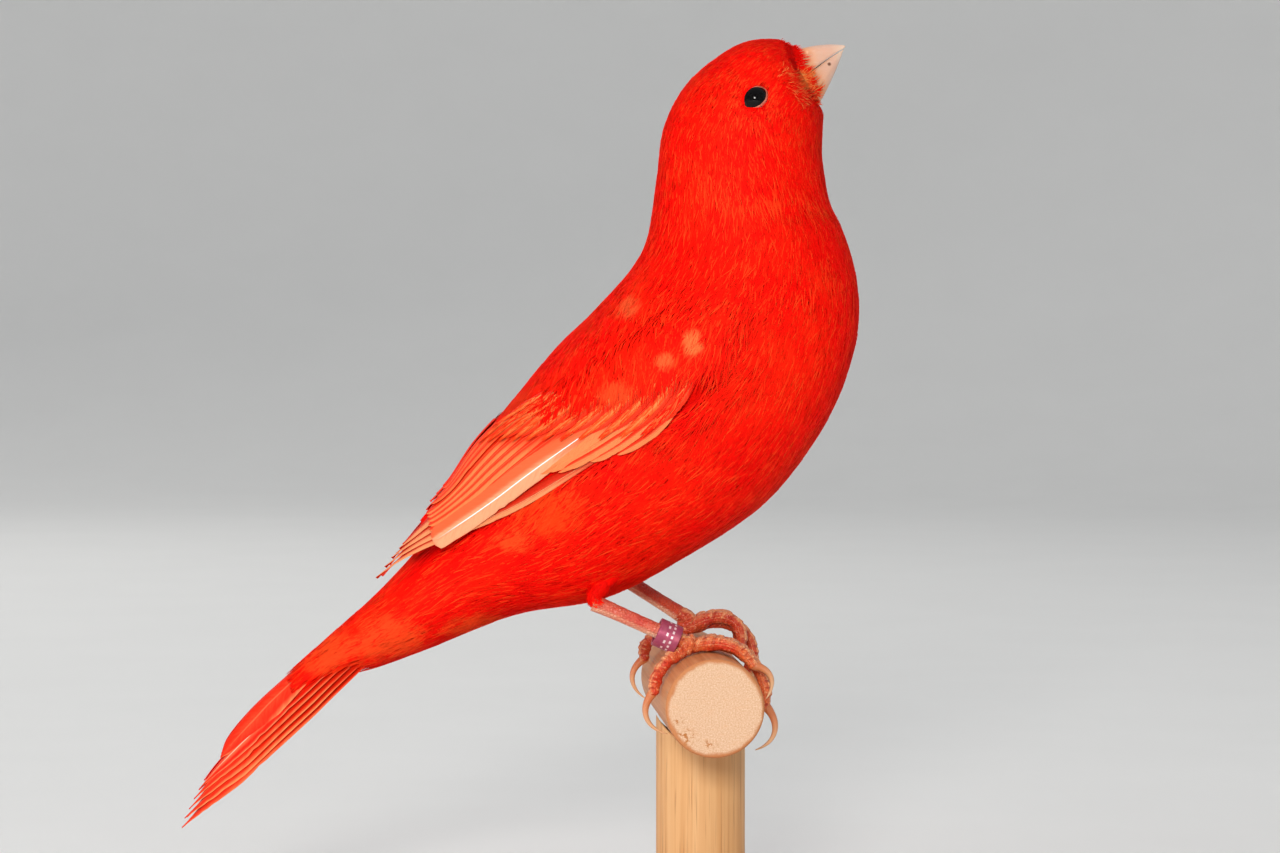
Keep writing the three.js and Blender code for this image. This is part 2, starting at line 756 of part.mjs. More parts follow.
// A claw starts inside its toe's end, bows off the dowel and comes back to it.
function makeClaw(leg, toe) {
  const steps = 7;
  const path = [];
  const radii = [];
  const start = DOWEL_RADIUS + GAP + TOE_RADIUS * 0.8;
  const end = DOWEL_RADIUS + GAP + toe.tip;
  for (let i = 0; i <= steps; i += 1) {
    const t = i / steps;
    const angle = mix(toe.to - Math.sign(toe.claw) * 3, toe.to + toe.claw, t);
    const bow = toe.bow * Math.sin(Math.PI * t);
    const y = leg.side * (leg.out + toe.spread * (1 + 0.2 * t));
    path.push(overDowel(angle, mix(start, end, t) + bow, y));
    radii.push(CLAW_RADIUS * mix(1, 0.3, Math.pow(t, 1.2)));
  }
  const claw = sweep(path, radii, 6);
  return largest(claw.subtract(makeToe(leg, toe, GAP)).subtract(dowelBar(GAP)));
}

function shankPlane(leg, along, from = leg.hock) {
  const hock = legPoint(leg, leg.hock);
  const run = legPoint(leg, leg.ankle).sub(hock);
  return { point: legPoint(leg, from).addScaledVector(run, along), normal: run.clone().normalize() };
}

function makeFoot(leg) {
  const ankle = legPoint(leg, leg.ankle);
  const run = shankPlane(leg, 0).normal;
  const front = overDowel(leg.toes[0].from + 2, DOWEL_RADIUS + GAP + 1.0, leg.side * leg.out);
  const palm = sweep(
    [ankle.clone().addScaledVector(run, -1), ankle, ankle.clone().lerp(front, 0.55), front],
    [1.05, 1.15, 1.2, 0.95],
    10,
  );
  const foot = joined([palm, ...leg.toes.map((toe) => makeToe(leg, toe))]);
  return largest(keepAhead(foot.subtract(dowelBar(GAP)), shankPlane(leg, 1), -0.5));
}

function makeTarsus(leg) {
  const hock = legPoint(leg, leg.hock);
  const ankle = legPoint(leg, leg.ankle);
  const path = [];
  const radii = [];
  for (let i = 0; i <= 6; i += 1) {
    const t = i / 6;
    path.push(hock.clone().lerp(ankle, t));
    radii.push(TARSUS_RADIUS * (0.96 + 0.16 * Math.pow(Math.abs(2 * t - 1), 3)));
  }
  const bar = sweep(path, radii, 9);
  const upper = keepAhead(bar, shankPlane(leg, THIGH_CUFF), GAP);
  return largest(keepBehind(upper, shankPlane(leg, 1), -0.5 - GAP));
}

function makeThigh(leg) {
  const hock = legPoint(leg, leg.hock);
  const top = hock.clone().add(vec(5.5, -leg.side * 1.8, 7));
  const cuff = shankPlane(leg, THIGH_CUFF + 0.03).point;
  const line = [top, top.clone().lerp(hock, 0.5), hock.clone().add(vec(0.3, 0, 0.7)), cuff];
  const rows = line.map((p, i) => [p.x, p.y, p.z, THIGH_RADII[i]]);
  const path = [];
  const radii = [];
  for (let i = 0; i <= 9; i += 1) {
    const [x, y, z, radius] = smooth(rows, i / 3);
    path.push(vec(x, y, z));
    radii.push(radius);
  }
  const thigh = sweep(path, radii, 14);
  const shaped = keepBehind(thigh, shankPlane(leg, THIGH_CUFF), 0);
  return largest(shaped.subtract(bodyLoft(GAP, 9.5, 13.5)));
}

// Turned pieces: rows of radius and height round the Y axis

function turned(profile, segments) {
  return new THREE.LatheGeometry(profile.map(([r, y]) => new THREE.Vector2(r, y)), segments);
}

function roundedBar(radius, from, to, edge, segments) {
  return turned(
    [
      [0, from],
      [radius - edge, from],
      [radius, from + edge],
      [radius, to - edge],
      [radius - edge, to],
      [0, to],
    ],
    segments,
  );
}

function dowelBar(extra) {
  const half = DOWEL_LENGTH / 2 + extra;
  const bar = roundedBar(DOWEL_RADIUS + extra, -half, half, EDGE_ROUND, 32);
  return fromGeometry(bar.translate(0, 0, DOWEL_Z));
}

function makePost() {
  const post = new THREE.CylinderGeometry(POST_RADIUS, POST_RADIUS, DOWEL_Z - BASE_HEIGHT - GAP, 36);
  post.rotateX(Math.PI / 2).translate(0, 0, (DOWEL_Z + BASE_HEIGHT + GAP) / 2);
  return largest(fromGeometry(post).subtract(dowelBar(GAP)));
}

function makeBase() {
  return fromGeometry(roundedBar(BASE_RADIUS, 0, BASE_HEIGHT, 1, 44).rotateX(Math.PI / 2));
}

function makeBand(leg) {
  const half = BAND.length / 2;
  const ring = turned(
    [
      [BAND.bore, -half],
      [BAND.radius, -half],
      [BAND.radius, half],
      [BAND.bore, half],
      [BAND.bore, -half],
    ],
    24,
  );
  const { point, normal } = shankPlane(leg, BAND.along);
  ring.applyQuaternion(new THREE.Quaternion().setFromUnitVectors(vec(0, 1, 0), normal));
  const across = vec(0, 1, 0);
  const up = normal.clone().cross(across).normalize();
  const hang = up.multiplyScalar(up.z > 0 ? -BAND.hang : BAND.hang);
  return fromGeometry(ring.translate(point.x + hang.x, point.y + hang.y, point.z + hang.z));
}

// Head

function eyeFrame(side) {
  const turn = side * EYE.turn;
  const out = loftNormal(bodyTable, EYE.along, turn);
  const skin = loftPoint(bodyTable, EYE.along, turn);
  const forward = vec(1, 0, 0).addScaledVector(out, -out.x).normalize();
  const up = out.clone().cross(forward).normalize();
  if (up.z < 0) up.negate();
  return { out, skin, forward, up, centre: skin.clone().addScaledVector(out, -EYE.depth) };
}

function eyeBall(side, radius) {
  const { centre } = eyeFrame(side);
  return new THREE.SphereGeometry(radius, 14, 9).translate(centre.x, centre.y, centre.z);
}

function makeLids(side) {
  const { out, skin, forward, up } = eyeFrame(side);
  const tilt = radians(LID.tilt);
  const x = forward.clone().multiplyScalar(Math.cos(tilt)).addScaledVector(up, Math.sin(tilt));
  const y = up.clone().multiplyScalar(Math.cos(tilt)).addScaledVector(forward, -Math.sin(tilt));
  const points = 19;
  const ridge = 5;
  const verts = [];
  const tris = [];
  for (let i = 0; i < points; i += 1) {
    const around = (2 * Math.PI * i) / points;
    const radial = x.clone().multiplyScalar(Math.cos(around)).addScaledVector(y, Math.sin(around));
    const middle = skin.clone()
      .addScaledVector(x, LID.width * Math.cos(around))
      .addScaledVector(y, LID.height * Math.sin(around))
      .addScaledVector(out, LID.lift);
    for (let k = 0; k < ridge; k += 1) {
      const turn = (2 * Math.PI * k) / ridge;
      const p = middle.clone()
        .addScaledVector(radial, LID.thick * Math.cos(turn))
        .addScaledVector(out, LID.thick * 0.8 * Math.sin(turn));
      verts.push(p.x, p.y, p.z);
      const [a, b] = [i * ridge + k, i * ridge + ((k + 1) % ridge)];
      const [c, d] = [((i + 1) % points) * ridge + k, ((i + 1) % points) * ridge + ((k + 1) % ridge)];
      tris.push(a, b, d, a, d, c);
    }
  }
  return closedSolid(verts, tris);
}

function makeHead(body) {
  const front = keepBehind(body, sectionPlane(HEAD_END), -GAP / 2);
  const withLids = joined([front, makeLids(RIGHT), makeLids(LEFT)]);
  const sockets = [RIGHT, LEFT].map((side) => fromGeometry(eyeBall(side, EYE.radius + SOCKET_SPACE)));
  return largest(withLids.subtract(joined(sockets)));
}

function makeBillUpper() {
  const [x, y, z] = NOSTRIL.at;
  const pits = [RIGHT, LEFT].map((side) =>
    fromGeometry(new THREE.SphereGeometry(NOSTRIL.radius, 8, 5).scale(1.3, 1, 0.8).translate(x, side * y, z)),
  );
  const whole = makeMandible(BILL.top, MOUTH_GAP / 2);
  return largest(keepBehind(whole, sectionPlane(0), -GAP).subtract(joined(pits)));
}

function makeBillLower() {
  const whole = makeMandible(BILL.under, MOUTH_GAP / 2);
  return largest(keepBehind(whole, sectionPlane(0), -GAP));
}

// Assembly

const COLOURS = {
  plumage: 0xe02a12,
  flight: 0xf08a60,
  bill: 0xf0c8b0,
  eye: 0x120c0a,
  skin: 0xd0806c,
  claw: 0xd89878,
  band: 0x9c4a90,
  dowel: 0xe6c8a4,
  stand: 0xd8b07c,
};

const group = new THREE.Group();
group.name = "canary";

function addNode(name, solid, colour) {
  const mesh = solid.getMesh();
  const geometry = new THREE.BufferGeometry();
  geometry.setAttribute("position", new THREE.BufferAttribute(new Float32Array(mesh.vertProperties), 3));
  geometry.setIndex(new THREE.BufferAttribute(new Uint32Array(mesh.triVerts), 1));
  geometry.computeVertexNormals();
  const node = new THREE.Mesh(geometry, new THREE.MeshStandardMaterial({ color: colour, roughness: 0.7 }));
  node.name = name;
  group.add(node);
}

const SIDES = [["right", RIGHT], ["left", LEFT]];

const body = SIDES.reduce((solid, [, side]) => solid.subtract(wingHollow(side)), bodyLoft(0));
const behindHead = keepAhead(body, sectionPlane(HEAD_END), GAP / 2);
const behindNeck = keepAhead(body, sectionPlane(NECK_END), GAP / 2);
const behindTorso = keepAhead(body, sectionPlane(TORSO_END), GAP / 2);

addNode("head", makeHead(body), COLOURS.plumage);
addNode("bill_upper", makeBillUpper(), COLOURS.bill);
addNode("bill_lower", makeBillLower(), COLOURS.bill);
SIDES.forEach(([name, side]) => {
  addNode(`eye_${name}`, fromGeometry(eyeBall(side, EYE.radius)), COLOURS.eye);
});
addNode("neck", largest(keepBehind(behindHead, sectionPlane(NECK_END), -GAP / 2)), COLOURS.plumage);
addNode("torso", largest(keepBehind(behindNeck, sectionPlane(TORSO_END), -GAP / 2)), COLOURS.plumage);
addNode("rump", largest(behindTorso), COLOURS.plumage);
addNode("tail", makeTail(), COLOURS.flight);
SIDES.forEach(([name, side]) => {
  const leg = LEGS[name];
  addNode(`wing_${name}`, makeWing(side), COLOURS.flight);
  addNode(`thigh_${name}`, makeThigh(leg), COLOURS.plumage);
  addNode(`tarsus_${name}`, makeTarsus(leg), COLOURS.skin);
  addNode(`foot_${name}`, makeFoot(leg), COLOURS.skin);
  leg.toes.forEach((toe) => {
    addNode(`claw_${name}_${toe.name}`, makeClaw(leg, toe), COLOURS.claw);
  });
});
addNode("leg_band", makeBand(LEGS.right), COLOURS.band);
addNode("perch", dowelBar(0), COLOURS.dowel);
addNode("stand_post", makePost(), COLOURS.stand);
addNode("stand_base", makeBase(), COLOURS.stand);

export default group;
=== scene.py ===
"""The looks of a red canary perched on a cut length of dowel.

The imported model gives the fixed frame. The bird faces +X, its left side is +Y and up
is +Z. Shapes are worked out in millimetres and put into meshes in metres.
"""

import logging
import math
from dataclasses import dataclass, replace
from enum import Enum
from typing import Callable, Iterable, Sequence

import bpy
import numpy as np
from mathutils import Matrix


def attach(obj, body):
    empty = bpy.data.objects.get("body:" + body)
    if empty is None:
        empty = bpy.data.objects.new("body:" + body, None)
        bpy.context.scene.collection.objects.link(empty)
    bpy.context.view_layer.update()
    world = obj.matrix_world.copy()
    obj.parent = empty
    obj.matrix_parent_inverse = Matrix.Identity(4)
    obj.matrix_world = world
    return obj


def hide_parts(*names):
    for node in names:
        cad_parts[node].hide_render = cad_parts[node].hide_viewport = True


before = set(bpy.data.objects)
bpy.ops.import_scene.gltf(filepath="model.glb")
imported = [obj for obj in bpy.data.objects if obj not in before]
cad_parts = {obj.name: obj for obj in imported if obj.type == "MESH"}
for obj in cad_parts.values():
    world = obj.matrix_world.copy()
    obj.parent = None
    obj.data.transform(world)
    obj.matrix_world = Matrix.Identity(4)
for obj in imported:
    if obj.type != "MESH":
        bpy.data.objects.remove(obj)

log = logging.getLogger("canary")

Array = np.ndarray
Chance = np.random.Generator
Material = bpy.types.Material
Tree = bpy.types.NodeTree
Triple = tuple[float, float, float]
Colour = Triple
Span = tuple[float, float]
Density = Callable[[Array, Array], Array]
Corner = Callable[[Array, Array, Array], Array]

MM = 0.001
SEED = 41
BAKE_MAP = "OFBake"
VANE_MAP = "Vane"
TINT = "Tint"
BAKE_PATCH = 0.003
PIECE_LIMIT = 198_000
ACROSS_BIRD = np.array([0.0, 1.0, 0.0])


class Side(Enum):
    """The bird's two sides, by the sign of Y."""

    RIGHT = -1
    LEFT = 1

    @property
    def title(self) -> str:
        """The side's name as in the nodes' names."""
        return self.name.lower()


class Slot(Enum):
    """The record's material slots."""

    PLUMAGE = "plumage"
    FLIGHT = "flight_feathers"
    BILL = "bill"
    EYE = "eye"
    LEG = "leg_skin"
    CLAW = "claw"
    BAND = "band"
    PERCH = "perch_wood"
    STAND = "stand_wood"


# Numbers and curves


def unit(v: Array) -> Array:
    """The vectors v at length one."""
    return v / np.maximum(np.linalg.norm(v, axis=-1, keepdims=True), 1e-12)


def dot(a: Array, b: Array) -> Array:
    """The product of vectors, summed."""
    return (a * b).sum(-1)


def mix(a: Array, b: Array, t: Array) -> Array:
    """The value between a and b at share t."""
    return a + (b - a) * t


def smoothstep(low: float, high: float, x: Array) -> Array:
    """0 below low and 1 above high, with an even S between them."""
    t = np.clip((np.asarray(x, float) - low) / (high - low), 0.0, 1.0)
    return t * t * (3.0 - 2.0 * t)


def bump(x: Array, middle: float, reach: float) -> Array:
    """A bell of height one round middle, near zero two reaches away."""
    return np.exp(-(((np.asarray(x, float) - middle) / reach) ** 2))


def ripple(a: Array, b: Array, seed: float) -> Array:
    """A slow wave over two coordinates from minus one to one, as a sum of sines."""
    first = np.sin(1.7 * a + 0.9 * b + seed) * np.cos(0.8 * a - 1.9 * b + 2.3 * seed)
    second = np.sin(3.1 * a - 2.3 * b + 1.1 * seed) * np.cos(2.7 * a + 1.3 * b - seed)
    return 0.6 * first + 0.4 * second


def columns(*values: Array) -> Array:
    """Arrays spread to one shape and set side by side on a new last axis."""
    return np.stack(np.broadcast_arrays(*values), -1)


def round_angles(count: int) -> Array:
    """Angles evenly round a circle."""
    return np.linspace(0, 2 * np.pi, count, endpoint=False)


def smooth_rows(rows: Array, t: Array) -> Array:
    """A Catmull-Rom curve through rows of numbers, where t counts rows.

    Args:
        rows: The rows, shape (n, c).
        t: Places along the rows, any shape.

    Returns:
        The curve's values, shape t.shape + (c,).
    """
    rows = np.asarray(rows, float)
    last = len(rows) - 1
    full = np.concatenate([2 * rows[:1] - rows[1:2], rows, 2 * rows[-1:] - rows[-2:-1]])
    at = np.clip(np.asarray(t, float), 0.0, last)
    i = np.minimum(np.floor(at).astype(int), last - 1)
    u = (at - i)[..., None]
    p0, p1, p2, p3 = (full[i + k] for k in range(4))
    a = 3 * p1 - p0 - 3 * p2 + p3
    b = 2 * p0 - 5 * p1 + 4 * p2 - p3
    return 0.5 * (2 * p1 + (p2 - p0) * u + b * u**2 + a * u**3)


# Meshes


@dataclass
class Part:
    """Faces with what their materials need, before they are a mesh.

    Attributes:
        verts: Points in millimetres, shape (n, 3).
        corners: The faces' point numbers, one after another.
        sizes: How many corners each face has.
        bake: Place of each point on the bake map.
        vane: Place of each point across (0 to 1) and along (0 to 1) its strand or vane.
        tint: A number from 0 to 1 that shades each point.
        finish: Which of the piece's materials each face has.
        lie: Directions that each point is shaded by, left out where its faces give them.
    """

    verts: Array
    corners: Array
    sizes: Array
    bake: Array
    vane: Array
    tint: Array
    finish: Array = None
    lie: Array = None

    def __post_init__(self) -> None:
        """Flattens the rows, and gives every face the first material unless told otherwise."""
        self.verts = self.verts.reshape(-1, 3)
        self.bake, self.vane = self.bake.reshape(-1, 2), self.vane.reshape(-1, 2)
        if self.finish is None:
            self.finish = np.zeros(len(self.sizes), int)

    @property
    def starts(self) -> Array:
        """The place of each face's first corner."""
        return np.cumsum(self.sizes) - self.sizes

    @staticmethod
    def joined(parts: Sequence["Part"]) -> "Part":
        """All the parts as one."""
        names = ("verts", "sizes", "bake", "vane", "tint", "finish")
        whole = {name: np.concatenate([getattr(p, name) for p in parts]) for name in names}
        before = np.cumsum([0] + [len(p.verts) for p in parts[:-1]])
        return Part(corners=np.concatenate([p.corners + b for p, b in zip(parts, before)]), **whole)

    def outward(self) -> "Part":
        """The part with its faces turned to point out of it.

        The signed volume is a sixth of the sum of a . (b x c) over the triangles, which
        fan out from each face's first corner.
        """
        count = self.sizes - 2
        start = np.repeat(self.starts, count)
        step = np.arange(len(start)) - np.repeat(np.cumsum(count) - count, count) + 1
        a, b, c = (self.verts[self.corners[k]] for k in (start, start + step, start + step + 1))
        if np.einsum("ij,ij->", a, np.cross(b, c)) < 0:
            first, size = np.repeat(self.starts, self.sizes), np.repeat(self.sizes, self.sizes)
            self.corners = self.corners[2 * first + size - 1 - np.arange(len(self.corners))]
        return self

    def build(
        self, name: str, materials: Sequence[Material], slot: Slot, replaces: Iterable[str] = ()
    ) -> None:
        """Makes the part a piece of the object that rides on the body.

        Args:
            name: The piece's name.
            materials: Its materials, in the order of finish.
            slot: The record's slot that it takes its finish from; not used.
            replaces: The CAD nodes that it stands for.
        """
        mesh = bpy.data.meshes.new(name)
        mesh.vertices.add(len(self.verts))
        mesh.vertices.foreach_set("co", (self.verts * MM).astype(np.float32).ravel())
        mesh.loops.add(len(self.corners))
        mesh.loops.foreach_set("vertex_index", self.corners.astype(np.int32))
        mesh.polygons.add(len(self.sizes))
        mesh.polygons.foreach_set("loop_start", self.starts.astype(np.int32))
        mesh.polygons.foreach_set("use_smooth", np.full(len(self.sizes), True))
        mesh.polygons.foreach_set("material_index", self.finish.astype(np.int32))
        for title, places in ((BAKE_MAP, self.bake), (VANE_MAP, self.vane)):
            layer = mesh.uv_layers.new(name=title, do_init=False)
            layer.data.foreach_set("uv", places[self.corners].astype(np.float32).ravel())
        tint = mesh.attributes.new(TINT, "FLOAT", "POINT")
        tint.data.foreach_set("value", self.tint.astype(np.float32))
        mesh.update(calc_edges=True)
        mesh.validate()
        if self.lie is not None:
            mesh.normals_split_custom_set_from_vertices(self.lie.astype(np.float32))
        for material in materials:
            mesh.materials.append(material)
        piece = link(bpy.data.objects.new(name, mesh))
        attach(piece, "root")
        if replaces:
            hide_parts(*replaces)
        log.info("%s: %d triangles", name, int((self.sizes - 2).sum()))


def link(thing: bpy.types.Object) -> bpy.types.Object:
    """Puts an object in the scene."""
    bpy.context.scene.collection.objects.link(thing)
    return thing


def tube_part(
    rings: Array, bake: Array = None, vane: Array = None, tint: float = 0.5, closed: bool = False
) -> Part:
    """A skin over rings of points, with a flat face over each end or closed on itself.

    Args:
        rings: Points, shape (rings, points, 3).
        bake: Bake places, shape (rings, points, 2); left out, the vane places.
        vane: Vane places, shape (rings, points, 2); left out, round and along.
        tint: The tint of every point.
        closed: Whether the last ring joins the first, so that it has no ends.

    Returns:
        The part, facing outward.
    """
    rows, count = rings.shape[:2]
    if vane is None:
        vane = columns(np.linspace(0, 1, count)[None, :], np.linspace(0, 1, rows)[:, None])
    index = np.arange(rows * count).reshape(rows, count)
    across = np.roll(index, -1, axis=1)
    quads = np.stack([index, across, np.roll(across, -1, axis=0), np.roll(index, -1, axis=0)], -1)
    quads = quads if closed else quads[:-1]
    ends = [] if closed else [index[0][::-1], index[-1]]
    corners = np.concatenate([quads.ravel(), *ends])
    sizes = np.array([4] * (quads.size // 4) + [count] * len(ends))
    shade = np.full(rows * count, float(tint))
    return Part(rings, corners, sizes, vane if bake is None else bake, vane, shade).outward()


def swept_rings(path: Array, radius: Array, count: int, side: Array = ACROSS_BIRD) -> Array:
    """Round rings along a path: path + radius(i, k) * (cos k * across + sin k * up).

    Args:
        path: The middle line, shape (n, 3).
        radius: Radii, shape (n,) or (n, count).
        count: Points round each ring.
        side: The direction across the path at angle 0.

    Returns:
        Points, shape (n, count, 3).
    """
    run = unit(np.gradient(path, axis=0))
    up = unit(np.cross(run, side))
    across = unit(np.cross(up, run))
    angle = round_angles(count)[None, :, None]
    ring = across[:, None] * np.cos(angle) + up[:, None] * np.sin(angle)
    return path[:, None] + ring * radius[..., None]


def turned_rings(profile: Array, count: int) -> Array:
    """A profile of radius and height spun round Z: (r cos k, r sin k, h)."""
    r, h, angle = profile[:, :1], profile[:, 1:], round_angles(count)
    return columns(r * np.cos(angle), r * np.sin(angle), h)


def rounded_profile(radius: float, low: float, high: float, edge: float, rings: int) -> Array:
    """Radius and height of a bar whose two rims are quarter circles of size edge."""
    turn = np.linspace(0, np.pi / 2, 7)
    flat = np.linspace(0.02, radius - edge, rings)[:-1]
    rim = columns(radius - edge + edge * np.sin(turn), low + edge - edge * np.cos(turn))
    under = np.concatenate([columns(flat, low), rim])
    side = columns(radius, np.linspace(low + edge, high - edge, 12)[1:-1])
    return np.concatenate([under, side, under[::-1] * (1, -1) + (0, low + high)])


# Surfaces that strands and vanes lie on


class Surface:
    """A surface named by a place along it and a turn round it in degrees."""

    def point(self, along: Array, turn: Array) -> Array:
        """The surface's point at each place."""
        raise NotImplementedError

    def slopes(self, along: Array, turn: Array) -> tuple[Array, Array]:
        """How the point moves for one step of along, and for one degree of turn."""
        ds = (self.point(along + 0.02, turn) - self.point(along - 0.02, turn)) / 0.04
        return ds, self.point(along, turn + 0.5) - self.point(along, turn - 0.5)

    def normal(self, along: Array, turn: Array) -> Array:
        """The direction straight out of the surface."""
        ds, dt = self.slopes(along, turn)
        return unit(np.cross(dt, ds))

    def lifted(self, along: Array, turn: Array, height: Array) -> Array:
        """The point at a height over the surface."""
        return self.point(along, turn) + self.normal(along, turn) * np.asarray(height)[..., None]

    def steps(self, along: Array, turn: Array, forward: float, down: float) -> tuple[Array, Array]:
        """Changes of along and turn that move a place by two lengths on the surface.

        With E, F and G the products of the slopes, forward moves along by 1 / sqrt(E),
        and down moves turn by 1 / sqrt(G - F F / E) and takes its slant out of along.

        Args:
            along: Places along.
            turn: Turns, positive to the left.
            forward: Length to move toward the tail.
            down: Length to move away from the back line.

        Returns:
            The changes of along and of turn.
        """
        ds, dt = self.slopes(along, turn)
        sign = np.where(turn < 0, -1.0, 1.0)
        e, f, g = dot(ds, ds), dot(ds, dt), dot(dt, dt)
        slant = np.sqrt(np.maximum(g - f * f / e, 1e-9))
        return forward / np.sqrt(e) - down * sign * f / (e * slant), down * sign / slant


# Each station of the body is a flat section across the bird: its point on the back
# line (x, z), its point on the throat and belly line (x, z), its half width, and how
# far down the section the widest place lies. Station 0 is at the bill's base, so the
# first two rows run on over the bill, and the last two run on over the tail's root.
FIRST_STATION = -2
BODY = (
    (17.0, 118.6, 17.8, 115.3, 1.7, 0.5),  # on the bill
    (14.6, 118.35, 17.0, 113.0, 2.75, 0.5),  # front of the bill's base
    (12.3, 117.9, 15.5, 111.0, 3.3, 0.5),  # bill base
    (10.0, 119.05, 16.15, 109.2, 6.1, 0.5),  # forehead
    (4.8, 118.3, 16.0, 106.6, 8.6, 0.5),  # crown
    (-1.6, 113.5, 16.0, 103.6, 9.6, 0.5),  # back of the head
    (-4.9, 107.4, 16.4, 100.8, 9.8, 0.5),  # nape
    (-5.9, 100.2, 17.0, 97.6, 10.2, 0.5),  # neck
    (-7.7, 91.2, 18.9, 93.6, 11.6, 0.5),  # neck base
    (-13.3, 84.2, 20.7, 87.0, 14.2, 0.48),  # shoulders
    (-19.0, 78.6, 20.4, 79.1, 16.0, 0.46),  # breast
    (-24.3, 72.3, 16.6, 68.9, 16.6, 0.46),  # keel
    (-29.2, 66.0, 8.8, 58.4, 15.8, 0.46),  # belly
    (-32.6, 60.0, -1.5, 51.3, 13.6, 0.48),  # flank
    (-35.4, 55.2, -12.5, 45.6, 11.0, 0.5),  # rump
    (-38.2, 51.1, -24.5, 43.4, 8.4, 0.5),  # vent
    (-42.6, 46.4, -35.7, 39.0, 5.9, 0.5),  # tail coverts
    (-47.6, 41.9, -43.1, 36.3, 4.4, 0.5),  # tail base
    (-51.3, 38.7, -48.6, 34.8, 3.8, 0.5),  # over the tail's root
    (-54.8, 35.6, -53.4, 31.9, 3.2, 0.5),  # end of the coverts
)
# The folded wings lie on the same loft with its rear stations raised, from this one on.
BED_START = 10
BED_ROWS = (
    (-29.6, 66.4, 8.8, 58.4, 15.8, 0.46),
    (-33.4, 60.7, -1.5, 51.3, 13.8, 0.48),
    (-37.1, 57.0, -12.5, 45.4, 11.7, 0.5),
    (-41.1, 52.6, -24.5, 43.0, 9.7, 0.5),
    (-45.1, 47.7, -35.5, 39.2, 7.4, 0.5),
    (-49.7, 42.5, -43.2, 36.0, 6.0, 0.5),
)
BELLY_FULL = 0.76
# At the corners of the mouth the feathers start further back than over and under the
# bill: how far, and the direction in x and z.
GAPE_BACK = 1.35
GAPE_WAY = (-0.93, -0.37)


@dataclass(frozen=True)
class BodyLoft(Surface):
    """The bird's body as a loft through stations.

    At a turn with cosine c and sine s the point lies at wide - wide c down the section
    for c above 0, or wide - (1 - wide) c below, and half s to the side. Below its
    widest place the belly is fuller than an ellipse: the sine's power is under one.
    At the corners of the mouth the face is set back by s squared.
    """

    stations: Array

    def point(self, along: Array, turn: Array) -> Array:
        """The loft's point; turn 0 is the back line and 180 the belly line."""
        along, turn = np.broadcast_arrays(np.asarray(along, float), np.asarray(turn, float))
        row = smooth_rows(self.stations, along - FIRST_STATION)
        half, wide = row[..., 4], row[..., 5]
        c, s = np.cos(np.radians(turn)), np.sin(np.radians(turn))
        t = np.where(c >= 0, wide - wide * c, wide - (1 - wide) * c)
        full = mix(1.0, BELLY_FULL, smoothstep(6.5, 8.5, along) * (1 - smoothstep(12.5, 15, along)))
        side = np.where(c >= 0, s, np.sign(s) * np.abs(s) ** full)
        back = GAPE_BACK * s * s * (1 - smoothstep(0.4, 2.6, along))
        x = mix(row[..., 0], row[..., 2], t) + GAPE_WAY[0] * back
        z = mix(row[..., 1], row[..., 3], t) + GAPE_WAY[1] * back
        return np.stack([x, half * side, z], -1)


BODY_LOFT = BodyLoft(np.array(BODY))
BED_FIRST, BED_END = BED_START - FIRST_STATION, BED_START - FIRST_STATION + len(BED_ROWS)
WING_BED = BodyLoft(np.array(BODY[:BED_FIRST] + BED_ROWS + BODY[BED_END:]))


def bake_place(along: Array, turn: Array) -> Array:
    """The skin's own unwrap: along across the map, and turn up it."""
    u = 0.03 + 0.94 * (np.asarray(along) - FIRST_STATION) / (len(BODY) - 1)
    return columns(u, 0.03 + 0.94 * ((np.asarray(turn) + 180.0) % 360.0) / 360.0)


# Node trees


@dataclass(frozen=True)
class Wire:
    """What comes out of a node; a sum of two wires adds a Math node."""

    graph: "Graph"
    socket: bpy.types.NodeSocket

    def __add__(self, other: object) -> "Wire":
        """This plus the other."""
        return self.graph.math("ADD", self, other)

    def __sub__(self, other: object) -> "Wire":
        """This less the other."""
        return self.graph.math("SUBTRACT", self, other)

    def __rsub__(self, other: object) -> "Wire":
        """The other less this."""
        return self.graph.math("SUBTRACT", other, self)

    def __mul__(self, other: object) -> "Wire":
        """This times the other."""
        return self.graph.math("MULTIPLY", self, other)

    def __abs__(self) -> "Wire":
        """Its size without its sign."""
        return self.graph.math("ABSOLUTE", self, 0.0)

    def clamped(self) -> "Wire":
        """The same sum, kept from 0 to 1."""
        self.socket.node.use_clamp = True
        return self


